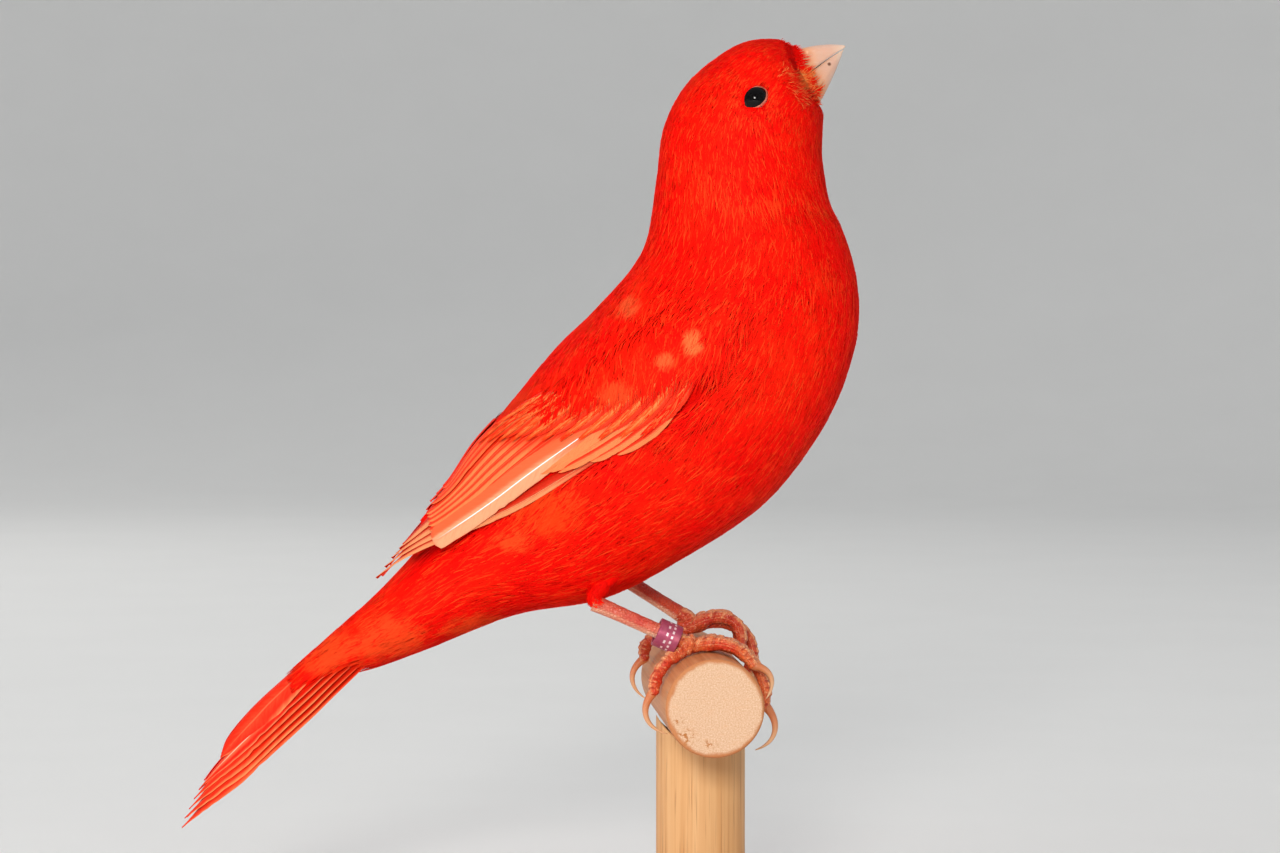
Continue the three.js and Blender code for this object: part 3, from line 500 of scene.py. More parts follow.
class Graph:
    """A node tree written as sums; each call adds a node and gives its output."""

    def __init__(self, tree: Tree) -> None:
        """Writes into this tree."""
        self.tree = tree

    def add(self, kind: str, inputs: dict = None, **settings: object) -> bpy.types.Node:
        """Adds a node, sets its options, and links or sets its inputs."""
        node = self.tree.nodes.new(kind)
        for name, value in settings.items():
            setattr(node, name, value)
        for name, value in (inputs or {}).items():
            self.feed(node.inputs[name], value)
        return node

    def feed(self, socket: bpy.types.NodeSocket, value: object) -> None:
        """Links a socket to a wire, or sets its value."""
        if isinstance(value, Wire):
            self.tree.links.new(value.socket, socket)
        else:
            socket.default_value = (*value, 1.0) if socket.type == "RGBA" else value

    def out(self, kind: str, inputs: dict = None, output: object = 0, **settings: object) -> Wire:
        """Adds a node and gives one of its outputs."""
        return Wire(self, self.add(kind, inputs, **settings).outputs[output])

    def place(self) -> Wire:
        """Object coordinates."""
        return self.out("ShaderNodeTexCoord", output="Object")

    def uv(self) -> Wire:
        """The place across and along a strand or vane."""
        return self.out("ShaderNodeUVMap", uv_map=VANE_MAP)

    def tint(self) -> Wire:
        """The points' tint."""
        return self.out("ShaderNodeAttribute", output="Fac", attribute_name=TINT)

    def split(self, vector: Wire) -> list[Wire]:
        """The three numbers of a vector."""
        return [Wire(self, s) for s in self.add("ShaderNodeSeparateXYZ", {0: vector}).outputs]

    def vector(self, *numbers: Wire) -> Wire:
        """A vector of three numbers."""
        return self.out("ShaderNodeCombineXYZ", dict(enumerate(numbers)))

    def length(self, vector: Wire) -> Wire:
        """A vector's length."""
        return self.out("ShaderNodeVectorMath", {0: vector}, "Value", operation="LENGTH")

    def math(self, operation: str, a: object, b: object) -> Wire:
        """One sum of two numbers."""
        return self.out("ShaderNodeMath", {0: a, 1: b}, operation=operation)

    def blend(self, share: Wire, a: object, b: object) -> Wire:
        """The colour between a and b."""
        return self.out("ShaderNodeMix", {0: share, 6: a, 7: b}, 2, data_type="RGBA")

    def over(self, colour: object, *layers: tuple[Wire, object]) -> Wire:
        """The colour with layers laid over it, each by its own share."""
        for share, top in layers:
            colour = self.blend(share, colour, top)
        return colour

    def rise(self, value: Wire, low: float, high: float) -> Wire:
        """0 at low and 1 at high, with an even S between them."""
        settings = {"interpolation_type": "SMOOTHSTEP", "clamp": True}
        return self.out("ShaderNodeMapRange", {0: value, 1: low, 2: high}, **settings)

    def noise(self, place: Wire, scale: float, detail: float = 2.0, rough: float = 0.5) -> Wire:
        """A cloudy number from 0 to 1."""
        inputs = {"Vector": place, "Scale": scale, "Detail": detail, "Roughness": rough}
        return self.out("ShaderNodeTexNoise", inputs)

    def stretched(self, place: Wire, scale: tuple, at: tuple = (0.0, 0.0, 0.0)) -> Wire:
        """Coordinates moved so that at is the middle, then stretched."""
        moved = tuple(-a * s for a, s in zip(at, scale))
        return self.out("ShaderNodeMapping", {"Vector": place, "Scale": scale, "Location": moved})

    def streaks(self, place: Wire, scale: tuple, detail: float = 3.0, rough: float = 0.6) -> Wire:
        """Clouds drawn out by stretched coordinates."""
        return self.noise(self.stretched(place, scale), 1.0, detail, rough)

    def spot(self, place: Wire, at: tuple, reach: tuple, soft: float = 1.0) -> Wire:
        """A soft round patch: 1 at its middle and 0 beyond its reach."""
        near = self.stretched(place, tuple(1.0 / r for r in reach), at)
        return self.rise(self.length(near), 1.0, 1.0 - soft)

    def bump(self, height: Wire, strength: float, distance: float) -> Wire:
        """A normal from heights; distance is in metres."""
        inputs = {"Height": height, "Strength": strength, "Distance": distance}
        return self.out("ShaderNodeBump", inputs)

    def group(self, tree: Tree, inputs: dict = None) -> dict[str, Wire]:
        """Places a node group and gives its outputs by name."""
        node = self.add("ShaderNodeGroup", inputs, node_tree=tree)
        return {socket.name: Wire(self, socket) for socket in node.outputs}


class SharedGroup(Graph):
    """A shader group that more than one material uses."""

    def __init__(self, name: str, inputs: dict[str, str], outputs: dict[str, str]) -> None:
        """Starts the group, with the kinds of its inputs and outputs by name."""
        super().__init__(bpy.data.node_groups.new(name, "ShaderNodeTree"))
        for way, sockets in (("INPUT", inputs), ("OUTPUT", outputs)):
            for title, kind in sockets.items():
                self.tree.interface.new_socket(title, in_out=way, socket_type=f"NodeSocket{kind}")
        self.given = {s.name: Wire(self, s) for s in self.add("NodeGroupInput").outputs}

    def finished(self, results: dict[str, Wire]) -> Tree:
        """The group, putting out these results."""
        self.add("NodeGroupOutput", results)
        return self.tree


class Finish(Graph):
    """A material with one Principled shader."""

    def __init__(self, name: str, base: dict) -> None:
        """Starts the material, with constant values for the shader's sockets."""
        self.material = bpy.data.materials.new(name)
        self.material.use_nodes = True
        super().__init__(self.material.node_tree)
        self.tree.nodes.clear()
        self.shader = self.add("ShaderNodeBsdfPrincipled", base)
        self.add("ShaderNodeOutputMaterial", {"Surface": Wire(self, self.shader.outputs[0])})

    def finished(self, **results: Wire) -> Material:
        """The material, with these results on the sockets of the same names."""
        for name, value in results.items():
            self.feed(self.shader.inputs[name.replace("_", " ")], value)
        return self.material


# Finishes


@dataclass(frozen=True)
class Marking:
    """A soft patch of another colour on the plumage, alike on both sides.

    Attributes:
        at: Its middle as along and turn on the body.
        reach: How far it goes in x, y and z, in millimetres.
        colour: Its colour.
        strength: How much it covers.
    """

    at: Span
    reach: Triple
    colour: Colour
    strength: float


@dataclass(frozen=True)
class PlumagePalette:
    """The colours of the red plumage and where it is paler."""

    red: Colour = (0.95, 0.0030, 0.0008)
    warm: Colour = (1.0, 0.012, 0.0015)
    deep: Colour = (0.84, 0.0020, 0.0006)
    markings: tuple[Marking, ...] = (
        Marking((7.1, 38.0), (3.2, 5.0, 3.4), (0.95, 0.120, 0.030), 0.75),  # mantle
        Marking((10.9, 74.0), (8.5, 9.0, 6.0), (0.97, 0.060, 0.006), 0.75),  # flank
        Marking((11.6, 72.0), (4.5, 6.0, 3.0), (0.98, 0.110, 0.018), 0.55),  # flank, paler
        Marking((14.4, 105.0), (9.0, 7.0, 6.5), (0.94, 0.070, 0.012), 0.85),  # tail coverts
        Marking((15.6, 60.0), (8.0, 6.0, 6.0), (0.94, 0.065, 0.011), 0.90),  # over the tail
        Marking((13.4, 150.0), (7.5, 8.0, 4.5), (0.92, 0.075, 0.012), 0.70),  # vent
        Marking((0.5, 101.0), (2.7, 3.6, 3.2), (1.0, 0.150, 0.028), 0.92),  # lores
        Marking((7.95, 84.0), (2.6, 4.0, 3.4), (1.0, 0.210, 0.055), 0.80),  # bend of the wing
        Marking((8.25, 77.0), (2.6, 4.0, 2.2), (1.0, 0.160, 0.040), 0.70),  # behind it
        Marking((8.80, 66.0), (4.6, 5.0, 3.4), (1.0, 0.110, 0.024), 0.55),  # lesser coverts
        Marking((9.2, 14.0), (6.0, 6.0, 5.0), (0.90, 0.050, 0.010), 0.45),  # lower back
    )

    def group(self) -> Tree:
        """The colour of the plumage at a place on the bird, for skin and coat alike."""
        g = SharedGroup("plumage_markings", {}, {"Color": "Color"})
        place = g.place()
        x, y, z = g.split(place)
        mirrored = g.vector(x, abs(y), z)
        cloud = g.rise(g.noise(place, 95.0, 3.0, 0.6), 0.38, 0.68)
        shade = g.rise(g.noise(place, 60.0), 0.52, 0.75) * 0.45
        colour = g.over(self.red, (cloud, self.warm), (shade, self.deep))
        ragged = (g.noise(place, 700.0) - 0.5) * 1.6 + 0.55 + g.tint() * 0.9
        for marking in self.markings:
            middle = BODY_LOFT.point(*np.array(marking.at)) * MM
            patch = g.spot(mirrored, middle.tolist(), tuple(r * MM for r in marking.reach))
            mask = g.rise(patch * ragged, 0.2, 0.85) * marking.strength
            colour = g.blend(mask, colour, marking.colour)
        return g.finished({"Color": colour})


def strand_streaks() -> Tree:
    """Shading along one strand: a root darkened by painted shade, a light edge and fine lengthwise lines."""
    kinds = {"Color": "Color", "Bright": "Color"}
    g = SharedGroup("strand_streaks", kinds, {"Color": "Color", "Height": "Float"})
    place, tint = g.uv(), g.tint()
    v = g.split(place)[1]
    colour = g.over(
        g.given["Color"],
        # Painted shade: each strand darkens toward its root, where the strands over it would shade it.
        (g.rise(v, 0.7, 0.1) * 0.35, (0.84, 0.0015, 0.0004)),
        (g.rise(tint, 0.54, 0.98) * g.rise(v, 0.2, 0.8), g.given["Bright"]),
        (g.rise(tint, 0.42, 0.0) * 0.35, (0.80, 0.0012, 0.0004)),
    )
    return g.finished({"Color": colour, "Height": g.noise(g.stretched(place, (6.0, 0.7, 1.0)), 3.0)})


@dataclass(frozen=True)
class PlumageFinish:
    """Soft body feathers."""

    name: str
    bright: Colour = (1.0, 0.058, 0.009)

    def material(self, markings: Tree, streaks: Tree) -> Material:
        """The material of the coat's strands."""
        g = Finish(self.name, {"Roughness": 0.65, "Specular IOR Level": 0.05})
        made = g.group(streaks, {"Color": g.group(markings)["Color"], "Bright": self.bright})
        return g.finished(Base_Color=made["Color"], Normal=g.bump(made["Height"], 0.10, 0.00008))


def skin_material(markings: Tree) -> Material:
    """The skin under the coat, with the same markings and a fine down."""
    g = Finish("skin_under_coat", {"Roughness": 0.8, "Specular IOR Level": 0.04})
    down = g.noise(g.place(), 2400.0)
    colour = g.blend(down * 0.5, g.group(markings)["Color"], (0.70, 0.0015, 0.0005))
    return g.finished(Base_Color=colour, Normal=g.bump(down, 0.6, 0.0004))


def vane_web() -> Tree:
    """The web of a flight feather: barbs that slant from the shaft, a pale streak along
    it, a pale open edge and the shaft itself, on the vane's own coordinates."""
    kinds = dict.fromkeys(("Deep", "Pale", "Shaft"), "Color")
    kinds |= dict.fromkeys(("Shaft at", "Open", "Streak"), "Float")
    g = SharedGroup("vane_web", kinds, {"Color": "Color", "Height": "Float", "Shaft mask": "Float"})
    u, v, _ = g.split(g.uv())
    tint, given = g.tint(), g.given
    away = abs(u - given["Shaft at"])
    barbs = g.noise(g.vector((v - away * 0.22) * 52.0, away * 3.0, tint), 1.0, 3.0, 0.7)
    clouds = g.noise(g.vector(u * 5.0, v * 0.8, tint * 37.0), 1.0, 3.0, 0.55)
    near = g.rise(away, 0.24, 0.02) * given["Streak"]
    open_web = g.rise(u - given["Open"], 0.0, 0.16) * (tint + 0.35)
    pale = g.math("MAXIMUM", near, g.rise(clouds, 0.16, 0.52) * open_web)
    pale = (pale * g.rise(v, 0.0, 0.3)).clamped()
    pale = (pale + (barbs - 0.5) * 1.1 * (pale + 0.25)).clamped()
    shaft = g.rise(away, 0.026, 0.014)
    colour = g.over(given["Deep"], (pale, given["Pale"]), (shaft * g.rise(v, 1.0, 0.7), given["Shaft"]))
    return g.finished({"Color": colour, "Height": barbs + shaft * 0.8, "Shaft mask": shaft})


@dataclass(frozen=True)
class VaneFinish:
    """One kind of flight feather, tail feather or covert."""

    name: str
    deep: Colour
    pale: Colour
    shaft: Colour
    open_from: float
    streak: float
    shaft_at: float = 0.62

    def material(self, web: Tree) -> Material:
        """The material of these vanes."""
        g = Finish(self.name, {"Specular IOR Level": 0.16})
        inputs = {"Deep": self.deep, "Pale": self.pale, "Shaft": self.shaft}
        inputs |= {"Shaft at": self.shaft_at, "Open": self.open_from, "Streak": self.streak}
        made = g.group(web, inputs)
        rough = 0.55 - made["Shaft mask"] * 0.2
        normal = g.bump(made["Height"], 0.45, 0.00018)
        return g.finished(Base_Color=made["Color"], Roughness=rough, Normal=normal)


@dataclass(frozen=True)
class CovertFinish:
    """The soft barbs of the wing's coverts: pale orange near the shaft, red outward."""

    pale: Colour = (1.0, 0.27, 0.075)
    light: Colour = (1.0, 0.075, 0.011)

    def material(self, markings: Tree) -> Material:
        """The material; v runs along each barb, and tint says how pale it is."""
        g = Finish("soft_coverts", {"Roughness": 0.65, "Specular IOR Level": 0.06})
        tint, v = g.tint(), g.split(g.uv())[1]
        light, pale = g.rise(tint, 0.35, 0.80), g.rise(tint, 0.40, 0.80) * g.rise(v, 0.75, 0.15)
        colour = g.over(g.group(markings)["Color"], (light, self.light), (pale, self.pale))
        return g.finished(Base_Color=colour)


@dataclass(frozen=True)
class BillFinish:
    """Pale horn with a pinkish base, fine growth lines and one small dark fleck."""

    pale: Colour = (0.78, 0.45, 0.32)
    base: Colour = (0.80, 0.34, 0.15)
    tip: Colour = (0.84, 0.60, 0.46)
    line: Colour = (0.86, 0.66, 0.52)
    fleck: Colour = (0.16, 0.050, 0.020)
    fleck_at: Triple = (16.8, -1.5, 115.75)

    def material(self) -> Material:
        """The bill's material; v runs from the face to the tip."""
        base = {"Specular IOR Level": 0.5, "Subsurface Weight": 0.12, "Subsurface Scale": 0.0008}
        base |= {"Subsurface Radius": (1.0, 0.35, 0.2), "Coat Roughness": 0.25}
        g = Finish("horn_of_bill", base)
        place, v = g.place(), g.split(g.uv())[1]
        lines = g.streaks(place, (900.0, 900.0, 2600.0))
        clouds = g.noise(place, 520.0, 3.0, 0.6)
        at = tuple(a * MM for a in self.fleck_at)
        colour = g.over(
            self.pale,
            (g.rise(v, 0.45, 0.02), self.base),
            (g.rise(v, 0.6, 1.0), self.tip),
            (g.rise(clouds, 0.45, 0.8) * 0.35, self.base),
            (g.rise(lines, 0.5, 0.8) * 0.25, self.line),
            (g.spot(place, at, (0.00034, 0.0016, 0.00030), 0.6), self.fleck),
        )
        normal = g.bump(lines, 0.25, 0.0002)
        shine = {"Roughness": clouds * 0.2 + 0.3, "Coat_Weight": g.rise(v, 0.0, 0.6)}
        return g.finished(Base_Color=colour, Normal=normal, **shine)


@dataclass(frozen=True)
class EyeFinish:
    """A dark wet eye; v on the vane map runs from its front point to its back."""

    pupil: Colour = (0.0012, 0.0008, 0.0008)
    iris: Colour = (0.004, 0.002, 0.0015)
    white: Colour = (0.20, 0.05, 0.03)

    def material(self) -> Material:
        """The eye's material."""
        g = Finish("wet_eye", {"Roughness": 0.03, "Specular IOR Level": 0.2})
        place = g.uv()
        v = g.split(place)[1]
        colour = g.over(self.pupil, (g.rise(v, 0.15, 0.18), self.iris), (g.rise(v, 0.27, 0.32), self.white))
        rays = g.streaks(place, (40.0, 6.0, 1.0), 2.0, 0.5)
        return g.finished(Base_Color=colour, Normal=g.bump(rays, 0.03, 0.0001))


@dataclass(frozen=True)
class LegFinish:
    """Scaly skin of the legs, feet or lids, with painted shade in darker red between the scales and painted
    highlight on the raised ones.

    Attributes:
        name: The material's name.
        scale: The scales' colour.
        crease_shade: The colour of the painted shade between them.
        flush: The colour of the blotches.
        under: The colour along one side, also painted as highlight on the raised scales.
        under_at: Where round the piece that side is, as u; the default, 0.25, is the top of the toes and
            palm, where that pale side is a painted highlight.
    """

    name: str
    scale: Colour
    crease_shade: Colour
    flush: Colour
    under: Colour
    under_at: float = 0.25

    def material(self) -> Material:
        """The material of scaled skin; tint is low in the creases, where it paints shade, and high on raised
        scales, where it paints highlight.
        """
        base = {"Specular IOR Level": 0.45, "Subsurface Weight": 0.15, "Subsurface Scale": 0.0008}
        g = Finish(self.name, base | {"Subsurface Radius": (1.0, 0.3, 0.15)})
        place, uv, tint = g.place(), g.uv(), g.tint()
        cells = {"Vector": place, "Scale": 2600.0}
        cells = g.out("ShaderNodeTexVoronoi", cells, "Distance", feature="DISTANCE_TO_EDGE")
        clouds, grain = g.noise(place, 380.0, 3.0, 0.6), g.rise(cells, 0.0, 0.28)
        below = g.rise(abs(g.split(uv)[0] - self.under_at), 0.24, 0.08)
        streaks = g.rise(g.streaks(uv, (14.0, 2.0, 1.0)), 0.32, 0.62)
        colour = g.over(
            self.scale,
            (g.rise(clouds, 0.42, 0.66), self.flush),
            # The pale side; on the toes and palm it is their top, so there it is a painted highlight.
            (below * streaks, self.under),
            # Painted shade in the creases, where tint is low.
            (g.rise(tint, 0.42, 0.08) * 0.8, self.crease_shade),
            # Painted highlight on raised scales, where tint is high.
            (g.rise(tint, 0.56, 0.84) * 0.8, self.under),
            # Painted shade in the fine creases along the scale cells' edges.
            ((1.0 - grain) * 0.35, self.crease_shade),
        )
        normal = g.bump(grain, 0.6, 0.00015)
        return g.finished(Base_Color=colour, Roughness=clouds * 0.25 + 0.27, Normal=normal)


@dataclass(frozen=True)
class ClawFinish:
    """Translucent amber horn, darker along the ridge and at the root."""

    root: Colour = (0.62, 0.19, 0.07)
    tip: Colour = (0.76, 0.48, 0.26)

    def material(self) -> Material:
        """The claws' material; v runs from the root to the tip."""
        base = {"Specular IOR Level": 0.55, "Subsurface Weight": 0.1, "Subsurface Scale": 0.0006}
        g = Finish("claw_horn", base)
        uv = g.uv()
        lines = g.streaks(uv, (9.0, 2.0, 1.0))
        out = g.rise(g.split(uv)[1], 0.1, 0.75)
        colour = g.over(self.root, (out, self.tip), (lines * 0.45, self.root))
        return g.finished(Base_Color=colour, Roughness=lines * 0.2 + 0.22, Normal=g.bump(lines, 0.2, 0.0001))


@dataclass(frozen=True)
class BandFinish:
    """Violet anodised metal with rows of plain pale ticks; it holds no figures.

    Attributes:
        colour: The metal's colour.
        worn: Its colour where it is worn.
        tick: The ticks' colour.
        rows: Each row's place across the band, its count of ticks and their share of it.
    """

    colour: Colour = (0.36, 0.055, 0.115)
    worn: Colour = (0.50, 0.13, 0.17)
    tick: Colour = (0.80, 0.62, 0.64)
    rows: tuple[Triple, ...] = ((0.30, 11.0, 0.42), (0.44, 17.0, 0.55))

    def material(self) -> Material:
        """The leg band's material; u runs across its profile and v round it."""
        g = Finish("anodised_band", {"Metallic": 0.25, "Specular IOR Level": 0.3})
        uv = g.uv()
        u, v, _ = g.split(uv)
        clouds = g.noise(g.place(), 900.0, 3.0, 0.65)
        scratches = g.noise(g.stretched(uv, (30.0, 5.0, 1.0)), 2.0, 3.0, 0.7)
        colour = g.blend(g.rise(clouds, 0.4, 0.75) * 0.7, self.colour, self.worn)
        for middle, count, share in self.rows:
            dash = g.math("LESS_THAN", g.math("FRACT", v * count, 0.0), share)
            colour = g.blend(dash * g.math("LESS_THAN", abs(u - middle), 0.028), colour, self.tick)
        normal = g.bump(scratches, 0.15, 0.0001)
        return g.finished(Base_Color=colour, Roughness=scratches * 0.3 + 0.32, Normal=normal)


def wood_grain() -> Tree:
    """Streaks and pores of wood whose grain runs along Z of the coordinates given."""
    kinds = {"Vector": "Vector", "Pale": "Color", "Dark": "Color"}
    g = SharedGroup("wood_grain", kinds, {"Color": "Color", "Height": "Float"})
    place, pale, dark = g.given["Vector"], g.given["Pale"], g.given["Dark"]
    wander = g.rise(g.streaks(place, (90.0, 90.0, 12.0), 2.0, 0.5), 0.45, 0.7)
    bands = g.streaks(place, (1100.0, 1100.0, 14.0), 4.0, 0.65)
    pit = g.rise(g.streaks(place, (3600.0, 3600.0, 70.0), 2.0), 0.58, 0.70)
    lines = g.rise(bands, 0.38, 0.72)
    colour = g.over(pale, (lines, dark), (wander * 0.35, dark), (pit * 0.55, (0.36, 0.15, 0.045)))
    return g.finished({"Color": colour, "Height": bands * 0.4 - pit})


@dataclass(frozen=True)
class WoodFinish:
    """Plain waxed wood, with its grain along the axis that order puts last."""

    name: str
    pale: Colour
    dark: Colour
    order: tuple[int, int, int]

    def material(self, grain: Tree) -> Material:
        """The material of the long sides."""
        g = Finish(self.name, {"Specular IOR Level": 0.35})
        axes = g.split(g.place())
        place = g.vector(*(axes[o] for o in self.order))
        made = g.group(grain, {"Vector": place, "Pale": self.pale, "Dark": self.dark})
        rough, normal = made["Height"] * 0.15 + 0.5, g.bump(made["Height"], 0.35, 0.00015)
        return g.finished(Base_Color=made["Color"], Roughness=rough, Normal=normal)


@dataclass(frozen=True)
class EndGrainFinish:
    """The dowel's sawn and sanded end: pale, finely pitted, browner at its rim.

    Each flaw has its middle and its reach in x and z, in millimetres.
    """

    pale: Colour = (0.66, 0.38, 0.22)
    light: Colour = (0.84, 0.60, 0.42)
    ray: Colour = (0.76, 0.44, 0.25)
    rim: Colour = (0.54, 0.18, 0.05)
    pit: Colour = (0.50, 0.18, 0.05)
    flaws: tuple = (((-3.7, 29.4), (2.1, 1.6)), ((-0.7, 28.3), (1.4, 0.9)), ((-4.6, 31.5), (1.0, 0.8)))

    def material(self, radius: float, height: float) -> Material:
        """The end's material, for the dowel's radius and height in millimetres."""
        g = Finish("end_grain", {"Specular IOR Level": 0.25, "Roughness": 0.75})
        place = g.place()
        flat = g.stretched(place, (1.0, 0.0, 1.0), (0.0, 0.0, height * MM))
        specks = g.noise(place, 5200.0, 4.0, 0.75)
        uneven = g.length(flat) + (g.noise(place, 420.0, 3.0, 0.6) - 0.5) * 0.0011
        rays = g.streaks(flat, (520.0, 1.0, 2100.0), 2.0, 0.5)
        edge = g.rise(uneven, (radius - 0.75) * MM, (radius - 0.25) * MM)
        colour = g.over(
            self.pale,
            (g.rise(specks, 0.35, 0.7), self.light),
            (g.rise(rays, 0.5, 0.75) * 0.3, self.ray),
            (edge * 0.85, self.rim),
        )
        pits = g.rise(g.noise(place, 1500.0, 3.0, 0.75), 0.5, 0.62)
        for (x, z), (wide, tall) in self.flaws:
            flaw = g.spot(flat, (x * MM, 0.0, (z - height) * MM), (wide * MM, 1.0, tall * MM))
            colour = g.blend((flaw * pits * 1.6).clamped(), colour, self.pit)
        return g.finished(Base_Color=colour, Normal=g.bump(specks, 0.25, 0.00015))


# The coat

# How the coat changes from bill to tail, by the body's stations: the strands' length
# and width, and the depth of the coat.
COAT_STATIONS = (-0.2, 0.6, 1.6, 2.8, 4.0, 5.5, 7.5, 10.0, 12.5, 14.5, 16.0)
COAT_LENGTH = (0.9, 1.3, 1.9, 2.5, 3.2, 4.2, 5.2, 6.0, 6.4, 6.4, 5.4)
COAT_WIDTH = (0.10, 0.12, 0.13, 0.14, 0.16, 0.18, 0.20, 0.21, 0.21, 0.21, 0.20)
COAT_DEPTH = (0.10, 0.20, 0.28, 0.35, 0.39, 0.43, 0.46, 0.48, 0.46, 0.42, 0.34)
# A strand is shaded mostly by the body's own direction there, so the coat looks soft:
# how flat its ridge is, how much it tilts with its own rise, and how much it is round.
RIDGE = 0.30
LIE_SOFT = 0.10
LIE_FAN = 0.16
# A strand has two rings of a left edge, a ridge and a right edge, and then a tip.
STRAND_QUADS = [[k, (k + 1) % 3, 3 + (k + 1) % 3, 3 + k] for k in range(3)]
STRAND_TIPS = [[3, 4, 6], [4, 5, 6], [5, 3, 6], [2, 1, 0]]
STRAND_CORNERS = np.array([c for face in STRAND_QUADS + STRAND_TIPS for c in face])
STRAND_SIZES = [4] * 3 + [3] * 4
STRAND_PLACES = columns([0.0, 0.5, 1.0] * 2 + [0.5], [0.0] * 3 + [0.5] * 3 + [1.0])
STRAND_TRIANGLES = 10
# Ahead of this line the wing is covered by the feathers of the back and shoulder:
# the station where they end, by the turn down the side.
SCAPULAR_TURNS = (6.0, 32.0, 48.0, 61.0, 76.0, 86.0, 97.0, 105.0)
SCAPULAR_ENDS = (9.83, 9.45, 9.15, 8.92, 8.68, 8.55, 8.55, 8.3)
# The wing's outline on its bed: its stations, and the turn of the upper and lower edge.
WING_STATIONS = (7.0, 7.6, 8.2, 8.7, 9.2, 9.7, 10.3, 11.2, 11.9, 12.5, 13.0, 13.35, 13.62)
WING_UPPER = (62, 55, 47, 37, 25, 11, 7, 7, 10, 14, 18, 22, 27)
WING_LOWER = (96, 105, 107, 101, 93, 84, 71, 57, 51.5, 47, 43, 38, 31)


@dataclass
class Strands:
    """Where strands are rooted on a surface and how each one lies."""

    along: Array
    turn: Array
    heading: Array
    length: Array
    width: Array
    low: Array
    high: Array
    bend: Array
    tint: Array

    def __post_init__(self) -> None:
        """Spreads each number over the roots and lists them in one row."""
        rows = np.broadcast_arrays(*vars(self).values())
        for name, row in zip(vars(self), rows):
            setattr(self, name, row.ravel().copy())
        self.tint = np.clip(self.tint, 0, 1)

    def chosen(self, keep: Array) -> "Strands":
        """Only the strands where keep is true."""
        return Strands(**{name: values[keep] for name, values in vars(self).items()})

    def centres(self, surface: Surface, places: Array) -> tuple[Array, Array, Array]:
        """The strands' middle lines.

        A strand goes length * place from its root, turning by bend on the way, and
        rises from low to high as 1 - (1 - place)^2.4 and dips a little at its tip.

        Args:
            surface: What they lie on.
            places: Places along each strand, from 0 to 1.

        Returns:
            Points, and their places along and round the surface, each one row a strand.
        """
        distance = self.length[:, None] * places
        angle = self.heading[:, None] + self.bend[:, None] * places
        forward, down = distance * np.cos(angle), distance * np.sin(angle)
        ahead = surface.steps(self.along, self.turn, 1.0, 0.0)
        aside = surface.steps(self.along, self.turn, 0.0, 1.0)
        along = self.along[:, None] + forward * ahead[0][:, None] + down * aside[0][:, None]
        turn = self.turn[:, None] + forward * ahead[1][:, None] + down * aside[1][:, None]
        rise = 1 - (1 - places) ** 2.4 - 0.16 * smoothstep(0.7, 1.0, places)
        height = self.low[:, None] + (self.high - self.low)[:, None] * rise
        return surface.lifted(along, turn, height), along, turn

    def part(self, surface: Surface, bake: Density) -> Part:
        """The strands as thin closed slivers of three sides.

        Args:
            surface: What they lie on.
            bake: Gives a root's place on the skin's unwrap.

        Returns:
            One part with all the strands.
        """
        centre, along, turn = self.centres(surface, np.array([0.0, 0.5, 1.0]))
        normal = surface.normal(along, turn)
        run = unit(np.gradient(centre, axis=1))
        across = unit(np.cross(normal, run))
        up = np.cross(run, across)
        half = self.width[:, None, None] * 0.5 * np.array([0.6, 1.0, 0.0])[:, None]
        edge, ridge, middle = across * half, up * half * RIDGE, centre
        rings = np.stack([middle - edge, middle + ridge, middle + edge], 2)[:, :2]
        soft = unit(normal + LIE_SOFT * up)
        fanned = np.stack([soft - LIE_FAN * across, soft, soft + LIE_FAN * across], 2)[:, :2]
        count, points = len(self.along), len(STRAND_PLACES)
        verts = np.concatenate([rings.reshape(count, 6, 3), centre[:, 2:]], 1)
        lie = np.concatenate([fanned.reshape(count, 6, 3), soft[:, 2:]], 1)
        corners = (STRAND_CORNERS + points * np.arange(count)[:, None]).ravel()
        vane = np.broadcast_to(STRAND_PLACES, (count, points, 2))
        patch = bake(self.along, self.turn)[:, None] + (STRAND_PLACES - 0.5) * BAKE_PATCH
        tint, sizes = np.repeat(self.tint, points), np.tile(STRAND_SIZES, count)
        return Part(verts, corners, sizes, patch, vane, tint, lie=unit(lie).reshape(-1, 3)).outward()


def weighed(surface: Surface, along: Array, turn: Array, weight: Density) -> Array:
    """The area of one step of along by one degree at each place, times weight."""
    ds, dt = surface.slopes(along, turn)
    return np.linalg.norm(np.cross(ds, dt), axis=-1) * weight(along, turn)


def patch_area(surface: Surface, along: Span, turn: Span, weight: Density) -> float:
    """The patch's area times weight, in square millimetres."""
    places = np.meshgrid(np.linspace(*along, 60), np.linspace(*turn, 90), indexing="ij")
    mean = weighed(surface, *places, weight).mean()
    return float(mean * (along[1] - along[0]) * (turn[1] - turn[0]))


